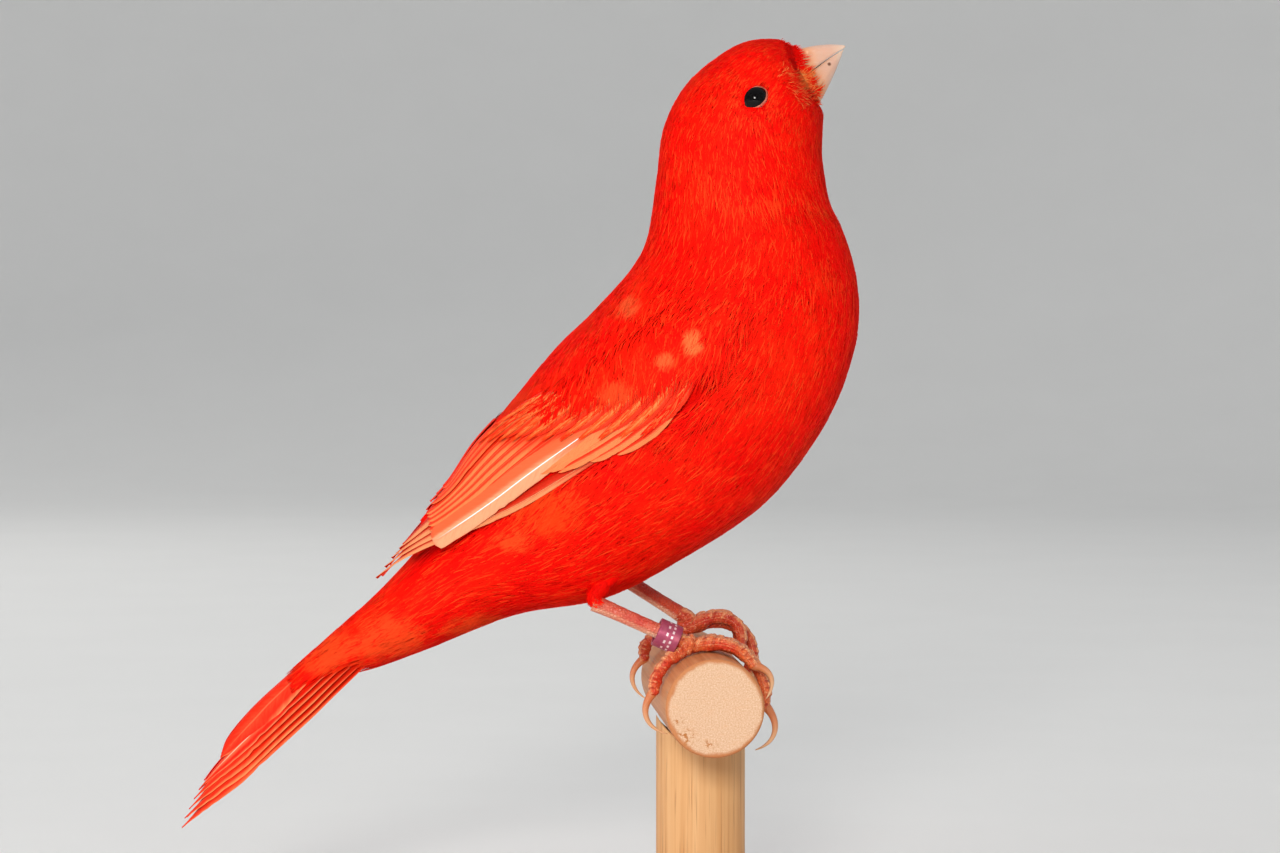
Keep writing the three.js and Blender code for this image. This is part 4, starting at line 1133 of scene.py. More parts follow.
def spread_places(
    surface: Surface, along: Span, turn: Span, weight: Density, count: int
) -> tuple[Array, Array]:
    """Even places over a patch of surface, denser where weight is higher.

    Cells of the patch are weighed by their area times weight. A sequence that fills a
    square evenly picks the row by the rows' running sum and the cell by the row's own.

    Args:
        surface: The surface.
        along: First and last station.
        turn: First and last turn.
        weight: Density at a place, 0 where nothing grows.
        count: How many places.

    Returns:
        The places' along and turn.
    """
    rows, width = 70, 180
    a, t = np.linspace(*along, rows + 1), np.linspace(*turn, width + 1)
    middles = np.meshgrid((a[1:] + a[:-1]) / 2, (t[1:] + t[:-1]) / 2, indexing="ij")
    cell = weighed(surface, *middles, weight) + 1e-9
    k = np.arange(1, count + 1)
    first, second = (0.5 + 0.7548776662 * k) % 1.0, (0.5 + 0.5698402910 * k) % 1.0
    by_row = np.cumsum(cell.sum(1)) / cell.sum()
    row = np.minimum(np.searchsorted(by_row, first), rows - 1)
    before = np.where(row > 0, by_row[row - 1], 0.0)
    inside = (first - before) / np.maximum(by_row[row] - before, 1e-12)
    by_cell = np.cumsum(cell, 1) / cell.sum(1, keepdims=True)
    flat = (by_cell + np.arange(rows)[:, None]).ravel()
    column = np.clip(np.searchsorted(flat, second + row) - row * width, 0, width - 1)
    start = np.where(column > 0, by_cell[row, column - 1], 0.0)
    across = np.clip((second - start) / np.maximum(by_cell[row, column] - start, 1e-12), 0, 1)
    return a[row] + inside * (a[1] - a[0]), t[column] + across * (t[1] - t[0])


@dataclass(frozen=True)
class EyePlace:
    """Where an eye sits: its ball's middle, and the directions round it."""

    side: Side
    along: float = 2.71
    turn: float = 76.6
    depth: float = 1.3
    radius: float = 2.0
    tilt: float = 40.0
    opening: Span = (1.6, 1.36)

    def frame(self) -> tuple[Array, Array, Array, Array]:
        """The skin's point over the eye, and the directions out, forward and up."""
        a, t = np.array(self.along), np.array(self.side.value * self.turn)
        skin, out = BODY_LOFT.point(a, t), BODY_LOFT.normal(a, t)
        ahead = unit(np.array([1.0, 0.0, 0.0]) - out * out[0])
        up = np.cross(out, ahead)
        up = up if up[2] > 0 else -up
        c, s = math.cos(math.radians(self.tilt)), math.sin(math.radians(self.tilt))
        return skin, out, ahead * c + up * s, up * c - ahead * s

    def away(self, points: Array) -> Array:
        """How far points lie from the eye's middle, in half widths of its opening.

        Behind and over the eye they count as farther, so feathers cover its rim there.
        """
        skin, out, x, y = self.frame()
        gap = points - skin
        ahead, over = gap @ x / self.opening[0], gap @ y / self.opening[1]
        flat = np.hypot(ahead, over)
        return np.where(gap @ out > -4.0, flat + 0.10 * (over - ahead) / (flat + 0.3), 9.0)


EYES = tuple(EyePlace(side) for side in Side)


def from_eyes(points: Array) -> Array:
    """How far points lie from the nearer eye, in half widths of its opening."""
    return np.minimum(EYES[0].away(points), EYES[1].away(points))


def in_wing(along: Array, turn: Array, margin: float) -> Array:
    """How far inside the wing's outline a place lies: 0 outside, 1 by margin degrees in."""
    turn = np.abs(turn)
    upper = np.interp(along, WING_STATIONS, WING_UPPER)
    lower = np.interp(along, WING_STATIONS, WING_LOWER)
    across = smoothstep(0, min(margin, 6.0), turn - upper) * smoothstep(0, margin, lower - turn)
    return across * smoothstep(WING_STATIONS[0] - 0.1, WING_STATIONS[0] + 0.6, along)


@dataclass(frozen=True)
class CoatRegion:
    """A part of the coat that is one piece.

    Attributes:
        name: The piece's name.
        along: Its first and last station.
        turn: Its least and greatest turn from the back line.
        layers: How many strands lie over one place.
        brood: Strands in each small feather.
    """

    name: str
    along: Span
    turn: Span
    layers: float
    brood: int


@dataclass(frozen=True)
class Coat:
    """The body's small feathers, each a brood of fine strands."""

    regions: tuple[CoatRegion, ...] = (
        CoatRegion("coat_face", (-0.15, 2.2), (0, 180), 7.5, 6),
        CoatRegion("coat_head", (2.2, 4.3), (0, 180), 8.0, 7),
        CoatRegion("coat_neck", (4.3, 6.4), (0, 180), 8.0, 8),
        CoatRegion("coat_breast", (6.4, 9.2), (88, 180), 8.5, 9),
        CoatRegion("coat_mantle", (6.4, 9.9), (0, 88), 8.5, 9),
        CoatRegion("coat_belly", (9.2, 12.2), (88, 180), 8.0, 9),
        CoatRegion("coat_flanks", (9.9, 12.2), (0, 88), 9.0, 9),
        CoatRegion("coat_rump", (12.2, 14.3), (0, 180), 8.5, 9),
        CoatRegion("coat_tail_coverts", (14.3, 16.6), (0, 180), 9.0, 9),
    )
    over_wing: float = 0.85

    def weight(self, along: Array, turn: Array) -> Array:
        """Where feathers grow: not under the wing behind the shoulder, nor on the eye."""
        side = np.abs(turn)
        ends = np.interp(side, SCAPULAR_TURNS, SCAPULAR_ENDS) - 0.42
        inside = (in_wing(along, turn, 3.0) > 0.9) & (along > ends) & (along < 12.3)
        below_tail = (along > 14.6) & (side > 100) | (along > 15.9 + 0.7 * bump(side, 72, 30))
        at_bill = along < 0.62 * bump(side, 108, 20) - 0.05
        eye = from_eyes(BODY_LOFT.point(along, turn))
        closer = 1 + 1.5 * (1 - smoothstep(1.1, 2.2, eye))
        return np.where(inside | below_tail | at_bill | (eye < 1.02), 0.0, closer)

    def cheek_edge(self, along: Array, turn: Array) -> Array:
        """How near a place is to the cheek's rear edge, where its feathers stand proud."""
        side = np.abs(turn)
        edge = np.interp(side, (20, 31.5, 87, 150.5, 170), (4.6, 4.95, 5.5, 5.18, 4.9))
        ends = smoothstep(22, 50, side) * (1 - smoothstep(150, 172, side))
        return bump(along, edge - 0.5, 0.28) * ends

    def over_edge(self, along: Array, turn: Array) -> Array:
        """How much a strand rises over the wing's lower edge, by its root's place."""
        below = np.abs(turn) - np.interp(along, WING_STATIONS, WING_LOWER)
        return bump(below, 2.0, 5.0) * smoothstep(7.4, 8.0, along) * (1 - smoothstep(9.0, 9.5, along))

    def heading(self, along: Array, turn: Array) -> Array:
        """The lie of the coat: toward the tail, swept down over the shoulders."""
        side = np.abs(turn)
        swept = 0.62 * bump(along, 8.5, 1.7) * bump(side, 48, 34)
        cheek = 0.38 * bump(along, 3.0, 1.6) * bump(side, 105, 38)
        flank = -0.30 * bump(along, 11.2, 1.6) * bump(side, 105, 34)
        lores = -0.55 * np.clip((side - 80) / 26, -1, 1) * bump(along, 1.1, 0.8) * bump(side, 84, 40)
        lifted = -0.30 * self.over_edge(along, turn)
        return swept + cheek + flank + lores + lifted + 0.14 * ripple(along, side / 22.0, 1.3)

    def strands(self, region: CoatRegion, rng: Chance) -> Strands:
        """The strands of one region, a brood for each small feather.

        A brood fans out from its root: its outer strands start to the side, head
        outward and are shorter, so their tips lie on a round. Strands near an eye are
        shorter, and those that would cross it are dropped.

        Args:
            region: The region.
            rng: The source of chance.

        Returns:
            The strands.
        """
        turns, brood = (-region.turn[1], -region.turn[0]), region.brood
        area = 2 * patch_area(BODY_LOFT, region.along, turns, self.weight)
        tables = (COAT_LENGTH, COAT_WIDTH, COAT_DEPTH)
        length, width, _ = (np.interp(np.mean(region.along), COAT_STATIONS, row) for row in tables)
        broods = int(area * region.layers / (0.62 * length * width * brood))
        broods = min(broods, PIECE_LIMIT // STRAND_TRIANGLES // brood)
        a, t = spread_places(BODY_LOFT, region.along, turns, self.weight, broods // 2)
        along, turn = np.tile(a, 2)[:, None], np.concatenate([t, -t])[:, None]
        along = along + rng.normal(0, 0.03, along.shape)
        lengths, widths, depth = (np.interp(along, COAT_STATIONS, row) for row in tables)
        one, every = along.shape, (len(along), brood)
        fan = np.linspace(-1, 1, brood)[None, :] + rng.normal(0, 0.12, every)
        head = self.heading(along, turn) + rng.normal(0, 0.09, one)
        aside = fan * (lengths * 0.13)
        da, dt = BODY_LOFT.steps(along, turn, 0.0, 1.0)
        proud, edge = self.cheek_edge(along, turn), self.over_edge(along, turn)
        lid_fold = bump(from_eyes(BODY_LOFT.point(along, turn)), 1.75, 0.3)
        chance = 0.12 * rng.normal(size=one) + 0.20 * rng.normal(size=every)
        lift = in_wing(along, turn, 15.0) * (along < 10.2)
        ahead = in_wing(along + 0.45, turn, 15.0) * (along < 9.9)
        uneven = 0.03 * rng.normal(size=one) + 0.035 * rng.normal(size=every)
        high = 0.03 + self.over_wing * np.maximum(lift, ahead) + 0.12 * proud + 0.12 * lid_fold
        made = Strands(
            along=along + aside * da,
            turn=turn + aside * dt,
            heading=head + 0.20 * fan + rng.normal(0, 0.05, every),
            length=lengths * (1 - 0.22 * fan**2) * rng.uniform(0.85, 1.15, every),
            width=widths * rng.uniform(0.8, 1.2, every),
            low=-depth - 0.12 + self.over_wing * lift * 0.6,
            high=np.clip(high + 0.4 * edge + uneven, -0.3, 1.1),
            bend=rng.normal(0, 0.12, every) - 0.12 * fan,
            tint=0.5 + chance + 0.19 * proud + 0.24 * lid_fold,
        )
        away = from_eyes(BODY_LOFT.point(made.along, made.turn))
        made.length = made.length * (0.42 + 0.58 * smoothstep(1.1, 2.3, away))
        points = made.centres(BODY_LOFT, np.linspace(0.2, 1.0, 4))[0]
        return made.chosen(from_eyes(points).min(1) > 0.97)

    def build(self, material: Material) -> None:
        """Makes each region's piece."""
        for number, region in enumerate(self.regions):
            strands = self.strands(region, np.random.default_rng(SEED + number))
            strands.part(BODY_LOFT, bake_place).build(region.name, [material], Slot.PLUMAGE)


def body_skin() -> Part:
    """The skin under the coat: the body's loft sunk by the coat's depth."""
    a = np.linspace(0.0, 16.6, 120)[:, None]
    t = np.linspace(-180, 180, 96, endpoint=False)[None, :]
    along, turn = np.broadcast_arrays(a, t)
    under = 0.35 * np.clip(along - 14.8, 0, 2)
    depth = np.interp(along, COAT_STATIONS, COAT_DEPTH) + under
    return tube_part(BODY_LOFT.lifted(along, turn, -depth), bake=bake_place(along, turn))


# Legs

DOWEL_RADIUS = 6.35
DOWEL_LENGTH = 40.0
DOWEL_Z = 32.9
GAP = 0.3
POST_RADIUS = 5.9
BASE_RADIUS = 32.0
BASE_HEIGHT = 6.0


@dataclass(frozen=True)
class Toe:
    """A toe over the dowel: how it spreads, its first and last angle from straight up,
    how far it arches off the wood, and its claw's angle, bow and tip height."""

    name: str
    spread: float
    start: float
    end: float
    arch: float
    claw: float
    bow: float
    tip: float


@dataclass(frozen=True)
class ThighTube(Surface):
    """The feathered thigh: a tube from inside the belly down to the shank."""

    line: Array

    def point(self, along: Array, turn: Array) -> Array:
        """A point of the tube; along counts the line's rows of x, y, z and radius."""
        along, turn = np.broadcast_arrays(np.asarray(along, float), np.asarray(turn, float))
        row = smooth_rows(self.line, along)
        ahead, behind = (smooth_rows(self.line, along + step)[..., :3] for step in (0.05, -0.05))
        run = unit(ahead - behind)
        across = unit(np.cross(run, ACROSS_BIRD))
        up = np.cross(across, run)
        angle = np.radians(turn)[..., None]
        return row[..., :3] + row[..., 3:4] * (across * np.cos(angle) + up * np.sin(angle))

    def normal(self, along: Array, turn: Array) -> Array:
        """Straight out from the tube's middle line."""
        return unit(self.point(along, turn) - smooth_rows(self.line, along)[..., :3])


@dataclass(frozen=True)
class Leg:
    """One leg with its foot round the dowel."""

    side: Side
    out: float
    hock: Triple
    ankle: Triple
    toes: tuple[Toe, ...]
    shank_radius: float = 1.05
    toe_radius: float = 0.92
    claw_radius: float = 0.56
    thigh_radii: tuple[float, ...] = (1.9, 1.6, 1.15, 0.98)

    def ends(self) -> tuple[Array, Array]:
        """The hock and the ankle on this side."""
        mirror = np.array([1.0, self.side.value, 1.0])
        return np.array(self.hock) * mirror, np.array(self.ankle) * mirror

    def over_dowel(self, angle: Array, reach: Array, out: Array) -> Array:
        """Points round the dowel: reach from its middle at an angle from straight up."""
        angle = np.radians(angle)
        y = self.side.value * out
        return columns(reach * np.sin(angle), y, DOWEL_Z + reach * np.cos(angle))

    def thigh(self) -> ThighTube:
        """The thigh's tube."""
        hock, ankle = self.ends()
        top = hock + np.array([5.5, -self.side.value * 1.8, 7.0])
        cuff = hock + (ankle - hock) * 0.12
        line = np.stack([top, mix(top, hock, 0.5), hock + np.array([0.3, 0.0, 0.7]), cuff])
        return ThighTube(np.concatenate([line, np.array(self.thigh_radii)[:, None]], 1))

    def thigh_bake(self, along: Array, turn: Array) -> Array:
        """The thighs' place on the bake map: a corner that the body leaves free."""
        v = (0.25 if self.side is Side.RIGHT else 0.75) + 0.2 * np.sin(np.radians(turn))
        return columns(0.972 + 0.024 * np.asarray(along) / 3.0, v)

    def thigh_skin(self) -> Part:
        """The thigh under its feathers, closed at both ends."""
        a, t = np.linspace(0.0, 3.0, 16)[:, None], np.linspace(0, 360, 32, endpoint=False)[None, :]
        along, turn = np.broadcast_arrays(a, t)
        points = self.thigh().lifted(along, turn, np.full(along.shape, -0.5))
        return tube_part(points, bake=self.thigh_bake(along, turn))

    def even(self, along: Array, turn: Array) -> Array:
        """The same density at every place."""
        return np.ones(np.broadcast(along, turn).shape)

    def thigh_strands(self, rng: Chance, count: int = 1800) -> Strands:
        """Downy strands of the thigh, ending in a cuff over the shank."""
        along, turn = spread_places(self.thigh(), (1.3, 2.5), (0, 360), self.even, count)
        far = along / 3.0
        return Strands(
            along=along,
            turn=turn,
            heading=rng.normal(0, 0.2, count),
            length=mix(2.6, 1.2, far) * rng.uniform(0.7, 1.2, count),
            width=0.15 * rng.uniform(0.7, 1.2, count),
            low=-0.6,
            high=rng.normal(0.0, 0.08, count),
            bend=rng.normal(0, 0.2, count),
            tint=rng.normal(0.35, 0.15, count) + 0.45 * smoothstep(0.6, 0.9, far),
        )

    def shank(self) -> Part:
        """The bare shank: a row of plates down its front, a keel down its back.

        The radius is swollen at both ends; each plate's far edge stands up by a share
        of its place in the plate, over the front two thirds of the ring.
        """
        rows, count, plates = 150, 30, 8
        hock, ankle = self.ends()
        t = np.linspace(0.02, 1.0, rows)[:, None]
        base = self.shank_radius * (0.94 + 0.17 * np.abs(2 * t - 1) ** 3)
        angle = round_angles(count)
        run = unit(ankle - hock)
        front = unit(np.cross(run, ACROSS_BIRD))
        front = front if front[2] > 0 else -front
        facing = np.cos(angle - np.pi / 2)
        beat = (t * plates + 0.2 * np.sin(5 * t)) % 1.0
        step = smoothstep(0.0, 0.8, beat) * (1 - smoothstep(0.9, 1.0, beat))
        on_front, seam = smoothstep(-0.35, 0.1, facing), bump(facing, -0.38, 0.12)
        radius = base * (1 + 0.035 * step * on_front - 0.06 * seam)
        radius = radius * (1 - 0.10 * np.abs(np.cos(angle)))
        part = tube_part(swept_rings(mix(hock, ankle, t), radius, count, np.cross(front, run)))
        # Tint for the skin finish: painted shade in the seam's groove, and a little painted highlight on the
        # plates' raised edges on the front.
        crease_shade = 0.40 + 0.2 * step * on_front + 0.15 * (1 - on_front) - 0.3 * seam
        part.tint = np.clip(crease_shade, 0, 1).ravel()
        return part

    def toe_part(self, toe: Toe) -> Part:
        """A toe round the dowel: plates along its back and swollen pads beneath.

        The radius shrinks toward the claw and swells at each joint; the plates are
        steps on the outer side, and the pads are bumps on the side that grips. A slow
        ripple over the ring makes it knobbly.
        """
        joints = 3 if toe.name == "middle" else 2
        t, turn = np.linspace(0, 1, 150), round_angles(30)
        taper, c, s = mix(1.0, 0.78, t), np.cos(turn), np.sin(turn)
        knuckles = sum(bump(t, (k + 0.5) / joints, 0.065) for k in range(joints))
        close = np.sqrt(np.clip(1 - (np.clip(t - 0.94, 0, 1) / 0.063) ** 2, 0.02, 1))
        radius = (self.toe_radius * (taper + 0.17 * knuckles - 0.03) * close)[:, None]
        reach = DOWEL_RADIUS + 0.10 + self.toe_radius * taper + toe.arch * np.sin(np.pi * t**1.4)
        path = self.over_dowel(mix(toe.start, toe.end, t), reach, self.out + toe.spread * t**0.8)
        out = unit(path - (np.array([0.0, 0.0, DOWEL_Z]) + path * ACROSS_BIRD))
        run = unit(np.gradient(path, axis=0))
        across = unit(np.cross(run, out))
        up = np.cross(across, run)
        t = t[:, None]
        lean = 0.16 * np.abs(c) + 0.05 * np.sin(3 * turn)
        beat = (t * (4.5 * joints) + 0.35 * np.sin(7 * t) + 0.2 * np.sin(17 * t) + lean) % 1.0
        step = smoothstep(0.0, 0.75, beat) * (1 - smoothstep(0.86, 1.0, beat))
        on_top, under = smoothstep(-0.45, 0.25, s), smoothstep(0.3, 0.9, -s)
        pads = np.abs(np.sin(np.pi * (joints + 1) * t))
        knobs = 0.09 * ripple(t * 16, 2.0 * s + c, toe.spread)
        knobs = knobs + 0.045 * ripple(t * 41, 5.0 * s + 4.0 * c, 1 + toe.spread)
        ring = radius * (1 + 0.15 * step * on_top + 0.07 * (pads - 0.5) * under + knobs)
        wide, tall = ring * c, ring * s * mix(1.0, 0.94, under)
        points = path[:, None] + across[:, None] * wide[..., None] + up[:, None] * tall[..., None]
        part = tube_part(points)
        # Tint for the skin finish: painted highlight on the tops of the plates and on the knobs, painted
        # shade between the plates.
        shade = 0.22 + 0.42 * step * on_top + 0.34 * (1 - on_top) * (0.5 + 0.5 * pads) + 2.6 * knobs
        part.tint = np.clip(shade, 0, 1).ravel()
        return part

    def palm(self) -> Part:
        """The foot's pad between the shank and the toes."""
        hock, ankle = self.ends()
        front = self.over_dowel(self.toes[0].start + 2, DOWEL_RADIUS + 1.15, self.out)
        rows = np.stack([ankle - unit(ankle - hock) * 1.4, ankle, mix(ankle, front, 0.55), front])
        row = smooth_rows(np.column_stack([rows, (1.02, 1.24, 1.38, 0.95)]), np.linspace(0, 3, 90))
        turn, t = round_angles(36), np.linspace(0, 3, 90)[:, None]
        knobs = ripple(3.2 * t, 2.2 * np.sin(turn) + np.cos(turn), 2.0)
        part = tube_part(swept_rings(row[:, :3], row[:, 3:] * (1 + 0.08 * knobs), 36))
        # Tint for the skin finish: painted highlight on the knobs, painted shade in the dips between them.
        part.tint = np.clip(0.45 + 0.4 * knobs, 0, 1).ravel()
        return part

    def claw_part(self, toe: Toe) -> Part:
        """A claw: a curved cone that bows off the dowel and comes back to it."""
        t = np.linspace(0, 1, 34)
        start, end = DOWEL_RADIUS + GAP + self.toe_radius * 0.62, DOWEL_RADIUS + GAP * 0.6 + toe.tip
        angles = mix(toe.end - np.sign(toe.claw) * 5, toe.end + toe.claw, t)
        reach = mix(start, end, t) + toe.bow * np.sin(np.pi * t)
        path = self.over_dowel(angles, reach, self.out + toe.spread * (1 + 0.2 * t))
        radius = self.claw_radius * mix(1.0, 0.12, t**1.25) * (1 + 0.12 * bump(t, 0.08, 0.08))
        radius[-1] = 0.02
        flat = 1 - 0.2 * np.abs(np.cos(round_angles(16)))
        return tube_part(swept_rings(path, radius[:, None] * flat, 16))

    def build(
        self, skins: Sequence[Material], claw: Material, down: Material
    ) -> None:
        """Makes the leg's pieces.

        Args:
            skins: The materials of the shank and of the foot.
            claw: The claws' material.
            down: The material of the thigh's feathers.
        """
        title = self.side.title
        foot = Part.joined([self.palm(), *(self.toe_part(toe) for toe in self.toes)])
        foot.finish[:] = 1
        nodes = (f"tarsus_{title}", f"foot_{title}")
        Part.joined([self.shank(), foot]).build(f"scaled_leg_{title}", skins, Slot.LEG, nodes)
        for toe in self.toes:
            name = f"claw_{title}_{toe.name}"
            self.claw_part(toe).build(f"curved_{name}", [claw], Slot.CLAW, [name])
        strands = self.thigh_strands(np.random.default_rng(SEED + 60 + self.side.value))
        strands.part(self.thigh(), self.thigh_bake).build(f"coat_thigh_{title}", [down], Slot.PLUMAGE)


RIGHT_LEG = Leg(
    Side.RIGHT,
    11.0,
    (-15.0, 9.0, 45.7),
    (-2.9, 11.0, 40.35),
    (
        Toe("outer", 3.4, -16, 52, 0.5, 33, 1.3, 0.5),
        Toe("middle", 0.2, -16, 99, 0.3, 38, 1.5, 2.3),
        Toe("inner", -3.2, -16, 60, 0.5, 34, 1.3, 0.6),
        Toe("hind", 0.4, -24, -84, 0.2, -44, 1.35, 0.3),
    ),
)
LEFT_LEG = Leg(
    Side.LEFT,
    10.0,
    (-11.5, 8.2, 48.5),
    (-1.0, 10.0, 41.7),
    (
        Toe("outer", 3.4, -8, 56, 2.7, 34, 1.3, 0.4),
        Toe("middle", 0.2, -8, 80, 2.4, 38, 1.2, 0.9),
        Toe("inner", -3.2, -8, 54, 2.7, 33, 1.3, 0.4),
        Toe("hind", 0.4, -18, -66, 1.0, -42, 1.3, 0.3),
    ),
)


@dataclass(frozen=True)
class LegBand:
    """The closed ring that hangs round the right shank."""

    leg: Leg
    along: float = 0.8
    length: float = 3.0
    bore: float = 1.48
    radius: float = 1.88
    hang: float = 0.1
    edge: float = 0.09

    def build(self, material: Material) -> None:
        """Makes the ring: a rounded oblong profile carried round the shank."""
        hock, ankle = self.leg.ends()
        axis = unit(ankle - hock)
        side = unit(np.cross(axis, ACROSS_BIRD))
        middle = hock + (ankle - hock) * self.along - side * np.sign(side[2]) * self.hang
        half, low, high, e = self.length / 2, self.bore, self.radius, self.edge
        bend = np.linspace(0, np.pi / 2, 5)
        outer_far = columns(high - e + e * np.cos(bend), half - e + e * np.sin(bend))
        inner_far = columns(low + e - e * np.sin(bend), half - e + e * np.cos(bend))
        walls = np.linspace(-half + e, half - e, 9)[1:-1]
        far = np.concatenate([outer_far, inner_far])
        profile = np.concatenate([columns(high, walls), far, columns(low, walls[::-1]), far[::-1] * (1, -1)])
        turn = round_angles(96)[:, None]
        radial = ACROSS_BIRD * np.cos(turn) + side * np.sin(turn)
        rings = middle + radial[:, None] * profile[None, :, :1] + axis * profile[None, :, 1:]
        run = profile[:, 1] / self.length + 0.5
        u = np.where(profile[:, 0] > high - e * 0.5, run * 0.6 + 0.05, 0.9)
        part = tube_part(rings, vane=columns(u, turn / (2 * np.pi)), closed=True)
        part.build("anodised_leg_band", [material], Slot.BAND, ["leg_band"])


# Wings


@dataclass(frozen=True)
class VaneRow:
    """A tier of feathers, from the back down to the lower edge.

    Attributes:
        name: The tier's name.
        count: How many feathers.
        first: The uppermost feather's path, as along and turn at root, middle and tip.
        last: The lowest feather's path.
        width: Width of the first and of the last, in millimetres.
        heights: Height over the bed of the hidden and of the open edge.
        camber: How far the middle of the vane stands over its edges.
        finish: The name of its finish.
        tint: How pale it is, from 0 to 1.
        round_from: Where along it the tip starts to round.
        blunt: The power of the tip's half width, low for a square end, high for a point.
        thick: Its thickness at the shaft.
    """

    name: str
    count: int
    first: tuple[Span, ...]
    last: tuple[Span, ...]
    width: Span
    heights: Span
    camber: float
    finish: str
    tint: float
    round_from: float
    blunt: float
    thick: float = 0.16

    def share(self, number: Array) -> Array:
        """How far a feather of this number is from the first to the last one."""
        return number / max(self.count - 1, 1)

    def path(self, share: Array) -> Array:
        """The path of the feather at this share of the way down."""
        return mix(np.array(self.first, float), np.array(self.last, float), share)


VANE_ACROSS = (0.0, 0.09, 0.2, 0.32, 0.43, 0.52, 0.58, 0.62, 0.66, 0.72, 0.8, 0.88, 0.95, 1.0)
VANE_ALONG = 34
# Where across a vane its shaft runs, how wide and how high its ridge is.
SHAFT_AT = 0.62
SHAFT_REACH = 0.028
SHAFT_RISE = 0.05
SPLITS = 3


def vane_half(t: Array, round_from: float, blunt: float) -> Array:
    """The share of a vane's half width: narrow at the root, even, then rounded off."""
    root = mix(0.62, 1.0, np.clip(t / 0.28, 0, 1))
    past = np.clip((t - round_from) / (1.003 - round_from), 0, 1)
    return root * np.maximum(1 - past ** (1.1 / blunt), 0.0) ** blunt


def vane_part(
    corner: Corner,
    row: VaneRow,
    width: float,
    cell: int,
    grid: int,
    tint: float,
    rng: Chance,
) -> Part:
    """One feather as a thin closed sheet.

    Across it the height goes from the hidden to the open edge, plus camber times
    1 - (2u - 1)^2, plus a round ridge for the shaft. Its open edge has a few splits.

    Args:
        corner: Gives points for distances across, places along and heights.
        row: Its tier.
        width: Its width.
        cell: The number of its cell on the bake map.
        grid: How many cells the bake map has in a row.
        tint: How pale it is.
        rng: The source of chance.

    Returns:
        The part.
    """
    t, u = np.meshgrid(np.linspace(0, 1, VANE_ALONG) ** 0.92, VANE_ACROSS, indexing="ij")
    half = width / 2 * vane_half(t, row.round_from, row.blunt)
    splits = np.zeros(VANE_ALONG)
    where = rng.integers(12, VANE_ALONG - 2, SPLITS)
    splits[where] = rng.uniform(0.03, 0.10, SPLITS)
    waver = 1 + 0.02 * np.sin(t * 23 + rng.uniform(0, 6)) - splits[:, None] * smoothstep(0.6, 1.0, u)
    distance = (u * 2 - 1) * half * waver
    shaft = SHAFT_RISE * bump(u, SHAFT_AT, SHAFT_REACH) * (1 - t)
    height = mix(*row.heights, u) + row.camber * (1 - (2 * u - 1) ** 2) + shaft
    depth = row.thick * (0.35 + 0.65 * (1 - np.abs(2 * u - 1) ** 3)) * mix(1.0, 0.6, t)
    top, bottom = corner(distance, t, height), corner(distance, t, height - depth)
    flat = columns(u, t)
    vane = np.concatenate([flat, flat[:, ::-1]], 1)
    bake = (np.array([cell % grid, cell // grid]) + 0.06 + 0.88 * vane) / grid
    return tube_part(np.concatenate([top, bottom[:, ::-1]], 1), bake, vane, tint)


